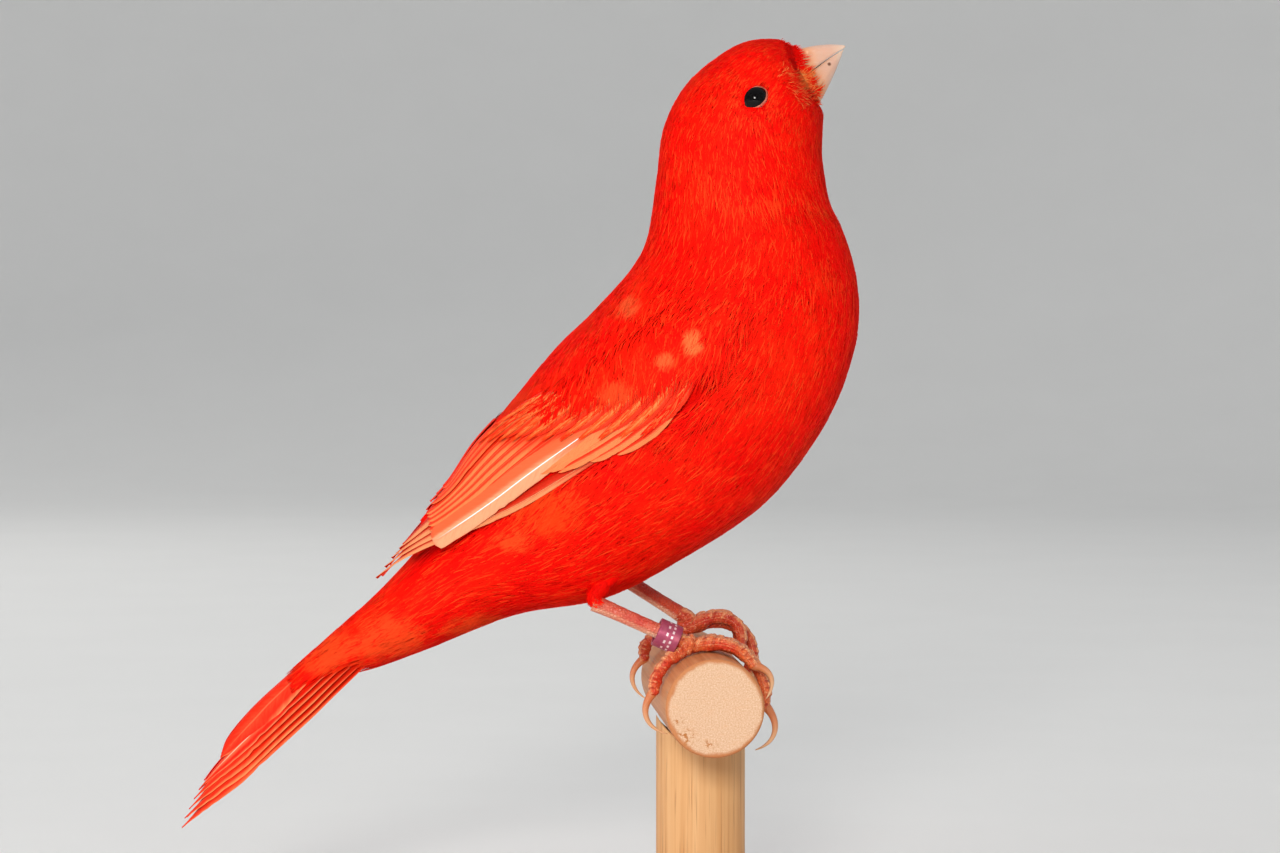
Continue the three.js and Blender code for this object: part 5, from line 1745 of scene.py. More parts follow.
@dataclass(frozen=True)
class Wing:
    """A folded wing: tiers of feathers over a thin core on the bed."""

    side: Side
    droop_left: float = 12.0
    rows: tuple[VaneRow, ...] = (
        VaneRow(
            "primaries", 4, ((11.3, 27), (12.1, 24), (12.9, 24)), ((9.5, 80), (11.7, 51.5), (13.68, 29)),
            (2.4, 1.9), (-0.55, -0.12), 0.12, "primary", 0.95, 0.55, 0.75,
        ),
        VaneRow(
            "secondaries", 6, ((9.45, 33), (10.8, 22), (11.95, 19)), ((9.3, 62), (10.85, 46), (12.3, 39.5)),
            (2.8, 2.8), (-0.05, 0.20), 0.12, "secondary", 0.9, 0.80, 0.5,
        ),
        VaneRow(
            "long_secondary", 1,
            ((9.35, 66), (10.9, 50.0), (12.42, 44.6)), ((9.35, 66), (10.9, 50.0), (12.42, 44.6)),
            (3.9, 3.9), (0.12, 0.18), 0.30, "salmon", 1.0, 0.93, 0.35,
        ),
        VaneRow(
            "tertials", 3, ((9.6, 15), (10.4, 10.5), (11.15, 10)), ((9.5, 27), (10.6, 17), (11.7, 15.5)),
            (2.6, 2.8), (0.1, 0.42), 0.16, "tertial", 0.7, 0.74, 0.55,
        ),
        VaneRow(
            "primary_coverts", 4, ((9.1, 72), (9.75, 64), (10.3, 58.5)), ((9.0, 83), (9.6, 76), (10.2, 68)),
            (1.8, 1.5), (0.05, 0.3), 0.12, "covert", 0.9, 0.70, 0.6,
        ),
        VaneRow(
            "coverts", 11, ((8.95, 32), (9.45, 23), (9.95, 18.5)), ((8.3, 90), (8.8, 90), (9.3, 87)),
            (2.3, 1.9), (0.28, 0.46), 0.10, "soft_covert", 0.72, 0.66, 0.6,
        ),
        VaneRow(
            "alula", 3, ((9.2, 82), (9.7, 75), (10.1, 69)), ((8.95, 91.5), (9.35, 89), (9.72, 83.5)),
            (1.5, 1.2), (0.15, 0.45), 0.12, "covert", 0.95, 0.74, 0.6,
        ),
    )
    grid: int = 7
    fringed: str = "coverts"
    barbs_each: int = 420
    barbs_lift: float = 0.17

    def on_bed(self, along: Array, turn: Array, height: Array) -> Array:
        """A point over the bed on this side; the far wing's tip hangs lower."""
        t = np.maximum(0.0, (along - 11) / 2.6)
        droop = self.droop_left * t * t if self.side is Side.LEFT else 0.0
        return WING_BED.lifted(along, self.side.value * (turn + droop), height)

    def corner(self, path: Array) -> Corner:
        """A vane's own coordinates: distances across its path, at places along it.

        Args:
            path: The path as along and turn at root, middle and tip.

        Returns:
            A function of distance, place and height that gives points.
        """

        def points(distance: Array, t: Array, height: Array) -> Array:
            """The points at these distances, places and heights."""
            here, after, before = (smooth_rows(path, 2 * np.clip(t + s, 0, 1)) for s in (0, 0.05, -0.05))
            ahead, along, turn = after - before, here[..., 0], here[..., 1]
            ds, dt = WING_BED.slopes(along, turn)
            forward = unit(ds * ahead[..., :1] + dt * ahead[..., 1:])
            across = unit(np.cross(unit(np.cross(dt, ds)), forward))
            across = across * np.sign(dot(across, dt))[..., None]
            e, f, g = dot(ds, ds), dot(ds, dt), dot(dt, dt)
            p, q = dot(across, ds), dot(across, dt)
            scale = distance / (e * g - f * f)
            return self.on_bed(along + scale * (g * p - f * q), turn + scale * (e * q - f * p), height)

        return points

    def vanes(self, row: VaneRow, rng: Chance, first_cell: int) -> list[Part]:
        """The feathers of one tier."""
        made = []
        for i in range(row.count):
            t = row.share(i)
            path = row.path(t)
            path = path + rng.normal(0, 0.012, path.shape) * np.array([1.0, 12.0])
            tint = float(np.clip(row.tint + rng.normal(0, 0.12), 0.05, 1.0))
            width = mix(*row.width, t)
            made.append(vane_part(self.corner(path), row, width, first_cell + i, self.grid, tint, rng))
        return made

    def barbs(self, row: VaneRow, rng: Chance) -> Strands:
        """Fine barbs that lie over a tier, so its feathers look soft and fringed.

        Barbs root along a feather's shaft, leave it to both sides at 5 to 26 degrees
        and end at its edge, half its width over the sine of the angle away.

        Args:
            row: The tier.
            rng: The source of chance.

        Returns:
            The barbs of all its feathers.
        """
        every = (row.count, self.barbs_each)
        pick = np.arange(row.count)[:, None]
        share = row.share(pick)
        path = row.path(share[..., None])
        place = rng.uniform(0.0, 0.95, every)
        hand = rng.choice([-1.0, 1.0], every)
        near = np.minimum((2 * place).astype(int), 1)
        here = mix(path[pick, near], path[pick, near + 1], (2 * place - near)[..., None])
        run = path[pick, near + 1] - path[pick, near]
        ds, dt = WING_BED.slopes(here[..., 0], here[..., 1])
        along = unit(ds)
        down = unit(dt - dot(dt, along)[..., None] * along)
        ahead = ds * run[..., :1] + dt * run[..., 1:]
        heading = np.arctan2(dot(ahead, down), dot(ahead, along))
        whole = 2 * np.linalg.norm(ahead, axis=-1)
        angle = mix(0.42, 0.12, place**2) * rng.uniform(0.6, 1.1, every)
        reach = np.minimum(mix(*row.width, share) / 2 / np.sin(angle), (1.10 - place) * whole)
        length = reach * rng.uniform(0.8, 1.15, every)
        high = np.where(hand > 0, row.heights[1], mix(*row.heights, 0.6)) + self.barbs_lift
        pale = row.tint + 0.10 * rng.normal(size=(row.count, 1)) + 0.16 * rng.normal(size=every)
        return Strands(
            along=here[..., 0],
            turn=self.side.value * here[..., 1],
            heading=heading + hand * angle,
            length=np.minimum(length, 3.4),
            width=rng.uniform(0.14, 0.22, every),
            low=high - 0.12,
            high=high + rng.normal(0, 0.02, every),
            bend=-hand * angle * 0.7,
            tint=pale,
        )

    def core(self) -> Part:
        """The arm under the coverts, a thin closed sheet that follows the outline."""
        a, q = np.meshgrid(np.linspace(7.35, 12.2, 30), np.linspace(0, 1, 20), indexing="ij")
        upper, lower = np.interp(a, WING_STATIONS, WING_UPPER), np.interp(a, WING_STATIONS, WING_LOWER)
        turn = mix(upper + 2.0, lower - 2.5, q)
        dome = smoothstep(-2, 15, np.minimum(turn - upper, lower - turn)) * smoothstep(7.3, 8.1, a)
        outer = self.on_bed(a, turn, mix(mix(-0.8, 0.05, dome), -0.55, smoothstep(8.6, 9.8, a)))
        inner = self.on_bed(a, turn, np.full(a.shape, -1.0))
        part = tube_part(np.concatenate([outer, inner[:, ::-1]], 1))
        part.bake = 0.94 + 0.05 * part.vane
        return part

    def build(
        self, finishes: dict[str, Material], skin: Material, soft: Material
    ) -> None:
        """Makes the wing's vanes one piece, and the soft barbs over its coverts another.

        Args:
            finishes: The vanes' materials by name.
            skin: The core's material.
            soft: The barbs' material.
        """
        rng = np.random.default_rng(SEED + 80 + self.side.value)
        names, title = list(finishes), self.side.title
        parts = [self.core()]
        parts[0].finish[:] = len(names)
        for row in self.rows:
            for part in self.vanes(row, rng, len(parts) - 1):
                part.finish[:] = names.index(row.finish)
                parts.append(part)
        materials = [*finishes.values(), skin]
        Part.joined(parts).build(f"feathered_wing_{title}", materials, Slot.FLIGHT, [f"wing_{title}"])
        tier = next(row for row in self.rows if row.name == self.fringed)
        fringe = self.barbs(tier, rng).part(WING_BED, bake_place)
        fringe.build(f"coat_coverts_{title}", [soft], Slot.FLIGHT)


# Tail


@dataclass(frozen=True)
class Tail:
    """Twelve tail feathers, stacked like a roof with the outer ones lowest.

    Each feather's outer edge folds down over the one below it, by a share of the
    space between them.
    """

    top: tuple[Span, ...] = (
        (-46.9, 41.6), (-51.7, 37.9), (-55.3, 34.8), (-58.8, 31.6), (-61.7, 28.4), (-63.9, 25.4)
    )
    low: tuple[Span, ...] = (
        (-43.9, 38.1), (-49.2, 33.6), (-54.9, 28.8), (-60.5, 24.0), (-65.4, 19.5), (-68.5, 16.4)
    )
    row: VaneRow = VaneRow(
        "tail", 12, (), (), (2.0, 2.0), (0.0, 0.0), 0.10, "tail", 0.6, 0.62, 0.95, thick=0.2
    )
    grid: int = 4
    pairs: int = 6
    root_half: float = 3.0
    half: float = 3.5
    step: float = 0.68
    part_slope: float = 0.24
    slope: float = 0.1
    depths: tuple[float, ...] = (0.0, 0.42, 0.57, 0.71, 0.86, 1.0)
    last_gap: float = 0.1
    fold_width: float = 2.3
    fold: float = 0.85

    def line(self, t: Array, depth: float) -> Array:
        """The x and z of a feather's line, between the uppermost and the lowest."""
        top, low = (smooth_rows(np.array(rows), t * (len(rows) - 1)) for rows in (self.top, self.low))
        return mix(top, low, depth)

    def corner(self, side: Side, place: int) -> Corner:
        """A tail feather's own coordinates, from its inner to its outer edge.

        Args:
            side: Its side.
            place: Its place from the middle pair, 0, out.

        Returns:
            A function of distance, place along and height that gives points.
        """
        depth = self.depths[place]
        gap = self.depths[place + 1] - depth if place + 1 < self.pairs else self.last_gap

        def points(distance: Array, t: Array, height: Array) -> Array:
            """The points at these distances, places and heights."""
            here = self.line(t, depth)
            below = np.linalg.norm(self.line(t, 1.0) - self.line(t, 0.0), axis=-1) * gap
            run = unit(self.line(np.clip(t + 0.05, 0, 1), depth) - self.line(np.clip(t - 0.05, 0, 1), depth))
            up = columns(run[..., 1], -run[..., 0])
            up = up * np.sign(up[..., 1:])
            inner = 0.2 + self.part_slope * place * t * t
            ease = np.minimum(1.0, t * 1.3)
            outer = mix(self.root_half, self.half + self.step * place, ease * (2 - ease))
            y = mix(inner, outer, 0.5) + distance * (outer - inner) / 2
            folded = np.clip((y - outer + self.fold_width) / self.fold_width, 0, 1) ** 1.4
            lift = height - self.slope * y - self.fold * below * folded
            line = here + up * lift[..., None]
            return columns(line[..., 0], side.value * y, line[..., 1])

        return points

    def build(self, finishes: Sequence[Material]) -> None:
        """Makes the tail one piece; the second pair has a finish of its own."""
        rng = np.random.default_rng(SEED + 90)
        parts = []
        for place in range(self.pairs):
            for side in Side:
                tint = float(np.clip(rng.normal(0.6, 0.15), 0.1, 1))
                corner, width = self.corner(side, place), self.row.width[0]
                parts.append(vane_part(corner, self.row, width, len(parts), self.grid, tint, rng))
                parts[-1].finish[:] = int(place == 1)
        Part.joined(parts).build("feathered_tail", finishes, Slot.FLIGHT, ["tail"])


# Head


@dataclass(frozen=True)
class Bill:
    """The conical bill: two horn halves that meet on the line of the mouth."""

    top: tuple[Span, ...] = ((12.72, 117.7), (16.1, 118.75), (19.25, 118.3))
    mouth: tuple[Span, ...] = ((13.6, 114.15), (16.0, 116.2), (19.05, 117.95))
    under: tuple[Span, ...] = ((16.02, 111.25), (17.7, 114.2), (18.85, 117.6))
    root: float = -0.36
    half: float = 3.1
    tip: float = 0.28
    mouth_gap: float = 0.14
    flare: float = 1.1
    nostril: Triple = (13.85, 1.75, 117.15)
    nostril_reach: Triple = (0.55, 0.9, 0.36)
    nostril_push: Triple = (-0.1, 0.62, 0.28)

    def bezier(self, points: tuple[Span, ...], t: Array) -> Array:
        """A curve through the first and last point, drawn toward the middle one."""
        a, b, c = (np.array(p) for p in points)
        t = t[..., None]
        return (1 - t) ** 2 * a + 2 * (1 - t) * t * b + t**2 * c

    def half_part(self, outer: tuple[Span, ...], upper: bool) -> Part:
        """One half: sections that stand on the mouth line and reach the outer line.

        A section is half a superellipse, sin^0.8 high and cos wide, closed by the
        mouth's flat. The upper half has a nostril pressed in on each side.

        Args:
            outer: The ridge's or the keel's line.
            upper: Whether it is the upper half.

        Returns:
            The part; v runs from the face to the tip.
        """
        t = np.linspace(self.root, 1.0, 64)
        mouth, rim = self.bezier(self.mouth, t), self.bezier(outer, t)
        depth = np.linalg.norm(rim - mouth, axis=-1)
        away = (rim - mouth) / depth[:, None]
        half = mix(self.half, self.tip, np.clip(t, 0, 1) ** 1.15)
        half = half + self.flare * (1 - smoothstep(self.root, 0.12, t))
        close = np.sqrt(np.clip(1 - (np.clip(t - 0.955, 0, 1) / 0.046) ** 2, 0.03, 1))
        turn = np.linspace(0, np.pi, 41)
        reach = np.maximum(depth - self.mouth_gap / 2, 0.12) * close
        rise = np.sin(turn) ** 0.8 * reach[:, None]
        lip = 0.10 if upper else -0.08
        wide = (half * close)[:, None] * np.cos(turn)
        wide = wide * (1 + lip * bump(turn, 0.0, 0.35) + lip * bump(turn, np.pi, 0.35))
        floor = (mouth + away * (self.mouth_gap / 2))[:, None]
        line = floor + away[:, None] * rise[..., None]
        shell = columns(line[..., 0], wide, line[..., 1])
        flat = mix(wide[:, :1], wide[:, -1:], np.linspace(1, 0, 9)[1:-1])
        rings = np.concatenate([shell, columns(floor[..., 0], flat, floor[..., 1])], 1)
        if upper:
            rings = self.pressed(rings)
        v, u = np.clip(t, 0, 1)[:, None], np.linspace(0, 1, rings.shape[1])
        return tube_part(rings, vane=columns(u, v))

    def pressed(self, rings: Array) -> Array:
        """Pushes the shell in at both nostrils, by nostril_push times a bell."""
        for side in Side:
            mirror = np.array([1.0, side.value, 1.0])
            gap = (rings - self.nostril * mirror) / self.nostril_reach
            near = np.exp(-dot(gap, gap))
            rings = rings - self.nostril_push * mirror * near[..., None]
        return rings

    def build(self, material: Material) -> None:
        """Makes both halves."""
        self.half_part(self.top, True).build("horn_bill_upper", [material], Slot.BILL, ["bill_upper"])
        self.half_part(self.under, False).build("horn_bill_lower", [material], Slot.BILL, ["bill_lower"])


# The lids' profile from the ball outward: how far each point is from the opening, how high it stands, how
# far it follows the ball, and its shade, a tint that paints highlight on the rolled margin and shade in the
# fold and where the rim tucks under the ball.
LID_SPREAD = (-0.10, 0.0, 0.03, 0.07, 0.12, 0.19, 0.28, 0.40, 0.62, 1.15, 1.0, 0.2)
LID_RISE = (-0.30, 0.02, 0.06, 0.07, 0.04, 0.0, -0.03, -0.07, -0.14, -0.40, -1.1, -0.9)
LID_FOLLOW = np.array([1, 1, 1, 0.9, 0.75, 0.6, 0.45, 0.3, 0.12, 0.0, 0.0, 0.0])
LID_SHADE = (0.3, 0.5, 0.8, 0.9, 0.7, 0.35, 0.6, 0.7, 0.7, 0.7, 0.5, 0.5)


@dataclass(frozen=True)
class EyeSet:
    """The eyes and their lids."""

    cornea: float = 0.035
    ball_clear: float = 0.03

    def ball(self, place: EyePlace) -> Part:
        """The eyeball, with a slightly fuller cornea; v runs from front to back."""
        skin, out, x, y = place.frame()
        polar, turn = np.linspace(0.01, np.pi - 0.01, 44)[:, None, None], round_angles(56)[:, None]
        reach = place.radius * (1 + self.cornea * bump(polar, 0.0, 0.55))
        ring = x * np.cos(turn) + y * np.sin(turn)
        centre = skin - out * place.depth
        return tube_part(centre + out * (reach * np.cos(polar)) + ring * (reach * np.sin(polar)))

    def lids(self, place: EyePlace) -> Part:
        """The bare rim of the lids: a folded ring that hugs the ball.

        Round the opening, an almond drawn out at its two corners, the profile climbs
        the ball, rolls over a margin, dips into a fold and sinks under the coat.
        """
        skin, out, x, y = place.frame()
        turn, points = round_angles(96)[:, None], np.arange(len(LID_SPREAD))
        c, s = np.cos(turn), np.sin(turn)
        wide = 1.50 * (1 + 0.13 * bump(s, 0.0, 0.32)) * np.abs(c)
        tall = np.where(s > 0, 1.24, 1.22) * np.abs(s)
        radius = np.hypot(wide, tall) + LID_SPREAD
        ball = np.sqrt(np.maximum(place.radius**2 - np.minimum(radius, 1.9) ** 2, 0.0)) - place.depth
        height = mix(-(radius**2) / 19.0, ball, LID_FOLLOW) + LID_RISE
        height[:, 1:9] = np.maximum(height, ball + self.ball_clear)[:, 1:9]
        wrinkle = 0.022 * np.sin(19 * turn) + 0.015 * np.sin(31 * turn + 1.0)
        height = height + wrinkle * bump(points, 6.0, 2.2)
        radial = x * c + y * s
        rings = skin + radial[:, None] * radius[..., None] + out * height[..., None]
        part = tube_part(rings, closed=True)
        # Painted highlight on the margin's roll and painted shade in its fold and tucked edge, by the
        # profile's tint.
        part.tint = np.broadcast_to(LID_SHADE, radius.shape).ravel()
        bare = points < 5.2 * smoothstep(-0.5, 0.5, np.cos(turn + 0.7))
        part.finish = np.where(bare, 0, 1).ravel()
        return part

    def build(self, wet: Material, lids: Sequence[Material]) -> None:
        """Makes the two eyes and their lids, bare in front and below, red elsewhere."""
        for place in EYES:
            title = place.side.title
            self.ball(place).build(f"wet_eye_{title}", [wet], Slot.EYE, [f"eye_{title}"])
        Part.joined([self.lids(place) for place in EYES]).build("eyelids", lids, Slot.LEG)


@dataclass(frozen=True)
class Muzzle(Surface):
    """The face's loft, which from its front edge runs on straight to the bill's tip."""

    edge: float = 0.25
    step: float = 2.4
    tip: Triple = (19.6, 0.0, 118.1)

    def point(self, along: Array, turn: Array) -> Array:
        """A point of the face, or of the lines from its edge to the tip."""
        front = BODY_LOFT.point(np.maximum(along, self.edge), turn)
        ahead = np.maximum(self.edge - np.asarray(along, float), 0.0) * self.step
        return front + unit(self.tip - front) * np.broadcast_to(ahead, front.shape[:-1])[..., None]


@dataclass(frozen=True)
class FaceBristles:
    """Fine stiff strands: a red fringe over the bill's upper base, golden ones over
    its lower base and the corners of the mouth, and a fan ahead of each eye.

    Each kind has its share, and from and to for along, turn, length, height and tint.
    All but the last kind head for the bill, and lean by how far they grow from a turn
    of their kind's own.
    """

    count: int = 5000
    kinds: tuple = (
        (0.05, (0.0, 0.35), (0.0, 30.0), (0.4, 1.0), (0.05, 0.25), (0.05, 0.45)),
        (0.26, (0.0, 1.00), (20.0, 88.0), (0.9, 2.3), (0.10, 0.70), (0.05, 0.55)),
        (0.41, (0.0, 1.30), (80.0, 132.0), (1.0, 2.8), (0.15, 0.85), (0.45, 0.95)),
        (0.28, (0.8, 2.1), (74.0, 112.0), (1.2, 2.6), (0.05, 0.24), (0.35, 0.85)),
    )
    turned_from: tuple[float, ...] = (30.0, 30.0, 104.0, 0.0)
    eye_corner: Span = (2.3, 79.0)

    def build(self, material: Material) -> None:
        """Makes the bristles of both sides."""
        rng = np.random.default_rng(SEED + 70)
        kind = rng.choice(len(self.kinds), self.count, p=[k[0] for k in self.kinds])
        spans = np.array([k[1:] for k in self.kinds])[kind]
        along, turn, length, high, tint = mix(spans[..., 0], spans[..., 1], rng.random((self.count, 5))).T
        down = 0.35 * (kind == 2) + (turn - np.array(self.turned_from)[kind]) / 75 * 0.8
        fan = np.arctan2((turn - self.eye_corner[1]) * 0.09, (along - self.eye_corner[0]) * 2.5)
        strands = Strands(
            along=along,
            turn=turn * rng.choice([-1.0, 1.0], self.count),
            heading=np.where(kind == 3, fan, np.pi - down) + rng.normal(0, 0.2, self.count),
            length=length * mix(0.5, 1.0, smoothstep(22.0, 62.0, turn)),
            width=rng.uniform(0.08, 0.14, self.count),
            low=-0.25,
            high=high,
            bend=rng.normal(0, 0.25, self.count),
            tint=tint,
        )
        strands.part(Muzzle(), bake_place).build("coat_bristles", [material], Slot.PLUMAGE)


# Perch, stand and studio


@dataclass(frozen=True)
class Stand:
    """The dowel that is gripped, the post that holds it, and the round base."""

    edge: float = 0.5

    def dowel(self, side: Material, end: Material) -> None:
        """Makes the dowel; its two ends show end grain."""
        half = DOWEL_LENGTH / 2
        rings = turned_rings(rounded_profile(DOWEL_RADIUS, -half, half, self.edge, 10), 128)
        part = tube_part(rings[..., [0, 2, 1]] + np.array([0.0, 0.0, DOWEL_Z]))
        middles = np.add.reduceat(part.verts[part.corners, 1], part.starts) / part.sizes
        part.finish = (np.abs(middles) > half - 0.8 * self.edge).astype(int)
        part.build("wooden_dowel", [side, end], Slot.PERCH, ["perch"])

    def seat(self, x: Array) -> Array:
        """The height of the hollow that seats the dowel."""
        return DOWEL_Z - np.sqrt(np.maximum((DOWEL_RADIUS + GAP) ** 2 - x**2, 0.0))

    def post(self, material: Material) -> None:
        """Makes the post: a round bar whose top is hollowed to seat the dowel."""
        angle, low = round_angles(96), BASE_HEIGHT + GAP
        x, y = POST_RADIUS * np.cos(angle), POST_RADIUS * np.sin(angle)
        shrink = np.linspace(0.94, 0.02, 14)[:, None]
        under = columns(x * shrink[::-1], y * shrink[::-1], low)
        sides = columns(x, y, mix(low, self.seat(x), np.linspace(0, 1, 40)[:, None]))
        over = columns(x * shrink, y * shrink, self.seat(x * shrink))
        part = tube_part(np.concatenate([under, sides, over]))
        part.build("wooden_post", [material], Slot.STAND, ["stand_post"])

    def base(self, material: Material) -> None:
        """Makes the round base."""
        rings = turned_rings(rounded_profile(BASE_RADIUS, 0.0, BASE_HEIGHT, 1.0, 14), 160)
        tube_part(rings).build("wooden_base", [material], Slot.STAND, ["stand_base"])


@dataclass(frozen=True)
class Studio:
    """A pale floor that curves up into a round wall, soft lights and the camera."""

    azimuth: float = -4.5
    elevation: float = 2.5
    distance: float = 500.0
    millimetres_per_pixel: float = 0.132
    picture: tuple[int, int] = (1280, 853)
    dowel_pixel: Span = (701.0, 692.8)
    sensor: float = 36.0
    lamps_face: Triple = (-0.01, 0.0, 0.075)

    def floor(self) -> None:
        """The floor, its cove and the wall, as one turned sheet."""
        turn, count = np.linspace(0, np.pi / 2, 16), 96
        flat = columns(np.linspace(0.001, 0.9, 20), 0.0)
        cove = columns(0.9 + 0.5 * np.sin(turn), 0.5 - 0.5 * np.cos(turn))[1:]
        rows = turned_rings(np.concatenate([flat, cove, [[1.4, 0.9], [1.4, 1.6]]]), count)
        index = np.arange(len(rows) * count).reshape(-1, count)
        after = np.roll(index, -1, axis=1)
        faces = np.stack([index[:-1], after[:-1], after[1:], index[1:]], -1).reshape(-1, 4)
        mesh = bpy.data.meshes.new("studio_floor")
        mesh.from_pydata(rows.reshape(-1, 3).tolist(), [], faces.tolist())
        mesh.polygons.foreach_set("use_smooth", np.full(len(mesh.polygons), True))
        g = Finish("studio_paper", {"Roughness": 0.9, "Specular IOR Level": 0.1})
        paper = g.blend(g.noise(g.place(), 30.0, 3.0), (0.80, 0.80, 0.79), (0.83, 0.83, 0.82))
        mesh.materials.append(g.finished(Base_Color=paper))
        link(bpy.data.objects.new("studio_floor", mesh))

    def light(self, name: str, at: tuple, size: float, watts: float, colour: Colour) -> None:
        """A soft square light that faces the bird, with its place and size in metres."""
        data = bpy.data.lights.new(name, "AREA")
        data.shape, data.size, data.energy, data.color = "SQUARE", size, watts, colour
        lamp = link(bpy.data.objects.new(name, data))
        lamp.visible_glossy = name == "key_light"
        lamp.matrix_world = look_matrix(at, np.subtract(at, self.lamps_face))

    def lights(self) -> None:
        """A key in front, a wide fill, a top light and light from behind, all soft."""
        self.light("key_light", (-0.16, -0.80, 0.30), 0.18, 4.3, (1.0, 0.97, 0.93))
        self.light("fill_light", (-0.74, -0.34, 0.30), 0.55, 1.7, (0.97, 0.98, 1.0))
        self.light("top_light", (-0.05, 0.05, 0.95), 0.70, 1.7, (1.0, 1.0, 1.0))
        self.light("rim_light", (-0.35, 0.70, 0.55), 0.50, 1.6, (1.0, 0.98, 0.95))
        world = bpy.data.worlds.new("studio_air")
        world.use_nodes = True
        colour, strength = world.node_tree.nodes["Background"].inputs[:2]
        colour.default_value, strength.default_value = (0.92, 0.95, 1.0, 1.0), 0.42
        bpy.context.scene.world = world

    def camera(self) -> None:
        """The camera at the photo's angle, distance and framing."""
        a, e = math.radians(self.azimuth), math.radians(self.elevation)
        across = (self.picture[0] / 2 - self.dowel_pixel[0]) * self.millimetres_per_pixel
        above = (self.dowel_pixel[1] - self.picture[1] / 2) * self.millimetres_per_pixel
        aim = np.array([across, 0.0, DOWEL_Z + above])
        back = np.array([math.sin(a) * math.cos(e), -math.cos(a) * math.cos(e), math.sin(e)])
        data = bpy.data.cameras.new("photo_camera")
        data.sensor_width = self.sensor
        data.lens = self.distance / self.millimetres_per_pixel * self.sensor / self.picture[0]
        data.clip_start, data.clip_end = 0.01, 20.0
        camera = link(bpy.data.objects.new("photo_camera", data))
        camera.matrix_world = look_matrix((aim + back * self.distance) * MM, back)
        bpy.context.scene.camera = camera
        bpy.context.scene.view_settings.view_transform = "Standard"


def look_matrix(at: Array, back: Array) -> Matrix:
    """Places an object at a point with its own Z along back and its own X level."""
    z = unit(np.asarray(back, float))
    x = unit(np.cross(np.array([0.0, 0.0, 1.0]), z))
    y = np.cross(z, x)
    return Matrix([*np.column_stack([x, y, z, at]).tolist(), [0.0, 0.0, 0.0, 1.0]])


VANE_FINISHES = (
    VaneFinish("primary", (0.70, 0.020, 0.004), (0.86, 0.30, 0.12), (0.80, 0.34, 0.15), 0.60, 0.2),
    VaneFinish("secondary", (0.90, 0.022, 0.003), (0.95, 0.22, 0.065), (0.90, 0.10, 0.03), 0.68, 0.1),
    VaneFinish("salmon", (0.95, 0.13, 0.040), (0.95, 0.37, 0.19), (1.0, 0.96, 0.92), 0.42, 0.8),
    VaneFinish("tertial", (0.90, 0.022, 0.003), (0.93, 0.15, 0.040), (0.90, 0.10, 0.03), 0.72, 0.1),
    VaneFinish("covert", (0.92, 0.026, 0.003), (0.98, 0.24, 0.075), (0.98, 0.26, 0.09), 0.45, 0.6),
    VaneFinish("soft_covert", (0.95, 0.030, 0.004), (0.98, 0.20, 0.060), (0.98, 0.24, 0.08), 1.4, 0.7),
)
TAIL_FINISHES = (
    VaneFinish("tail_vane", (0.86, 0.020, 0.003), (0.90, 0.25, 0.085), (0.86, 0.12, 0.04), 0.86, 0.10),
    VaneFinish("tail_vane_shafted", (0.84, 0.012, 0.002), (0.92, 0.3, 0.12), (0.98, 0.66, 0.46), 0.9, 0.45),
)
DOWEL_WOOD = WoodFinish("dowel_wood", (0.68, 0.33, 0.14), (0.52, 0.19, 0.06), (0, 2, 1))
POST_WOOD = WoodFinish("post_wood", (0.80, 0.49, 0.23), (0.66, 0.34, 0.13), (0, 1, 2))
BASE_WOOD = WoodFinish("base_wood", (0.68, 0.38, 0.17), (0.54, 0.26, 0.10), (1, 2, 0))
LID_SKIN = LegFinish(
    "lid_skin", (0.76, 0.15, 0.08), (0.50, 0.020, 0.010), (0.70, 0.08, 0.04), (0.80, 0.26, 0.17)
)
SHANK = LegFinish(
    "shank_scales", (0.76, 0.17, 0.10), (0.52, 0.045, 0.02), (0.66, 0.07, 0.045), (0.88, 0.52, 0.34), 0.75
)
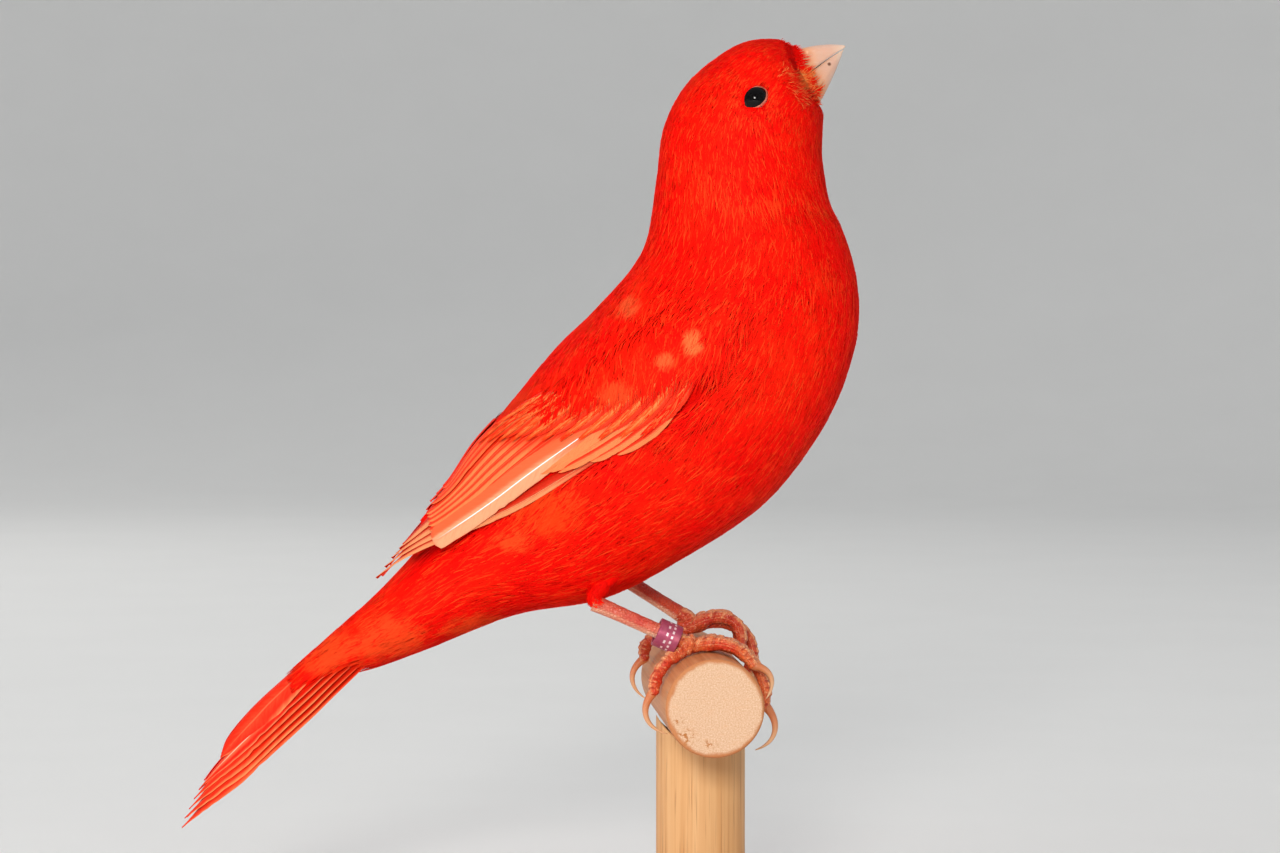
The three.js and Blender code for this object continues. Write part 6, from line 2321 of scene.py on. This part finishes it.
FOOT = LegFinish(
    "foot_scales", (0.80, 0.17, 0.045), (0.44, 0.016, 0.004), (0.72, 0.050, 0.012), (0.95, 0.48, 0.22)
)
# The far leg's finishes are darker copies of the near leg's: painted shade.
SHADED_FAR_SHANK = replace(SHANK, name="far_shank_scales", scale=(0.56, 0.065, 0.022), flush=(0.46, 0.024, 0.008))
SHADED_FAR_FOOT = replace(FOOT, name="far_foot_scales", scale=(0.62, 0.085, 0.028), flush=(0.52, 0.030, 0.008))


def main() -> None:
    """Builds the stand, the bird and the studio."""
    logging.basicConfig(level=logging.INFO, format="%(name)s %(message)s")
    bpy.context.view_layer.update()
    studio = Studio()
    studio.camera()
    studio.lights()
    studio.floor()

    stand, grain = Stand(), wood_grain()
    stand.dowel(DOWEL_WOOD.material(grain), EndGrainFinish().material(DOWEL_RADIUS, DOWEL_Z))
    stand.post(POST_WOOD.material(grain))
    stand.base(BASE_WOOD.material(grain))

    markings, streaks, web = PlumagePalette().group(), strand_streaks(), vane_web()
    coat = PlumageFinish("body_plumage").material(markings, streaks)
    skin = skin_material(markings)
    bristle = PlumageFinish("face_bristle", (1.0, 0.33, 0.08)).material(markings, streaks)
    parts = [body_skin(), RIGHT_LEG.thigh_skin(), LEFT_LEG.thigh_skin()]
    nodes = ["head", "neck", "torso", "rump", "thigh_right", "thigh_left"]
    Part.joined(parts).build("skin", [skin], Slot.PLUMAGE, nodes)
    Coat().build(coat)

    vanes = {finish.name: finish.material(web) for finish in VANE_FINISHES}
    soft = CovertFinish().material(markings)
    for side in Side:
        Wing(side).build(vanes, skin, soft)
    Tail().build([finish.material(web) for finish in TAIL_FINISHES])

    Bill().build(BillFinish().material())
    EyeSet().build(EyeFinish().material(), [LID_SKIN.material(), skin])
    FaceBristles().build(bristle)

    claw = ClawFinish().material()
    down = PlumageFinish("thigh_down", (0.98, 0.22, 0.04)).material(markings, streaks)
    RIGHT_LEG.build([SHANK.material(), FOOT.material()], claw, down)
    # The far leg takes the darker copies of its finishes, painted shade.
    LEFT_LEG.build([SHADED_FAR_SHANK.material(), SHADED_FAR_FOOT.material()], claw, down)
    LegBand(RIGHT_LEG).build(BandFinish().material())


if __name__ == "__main__":
    main()
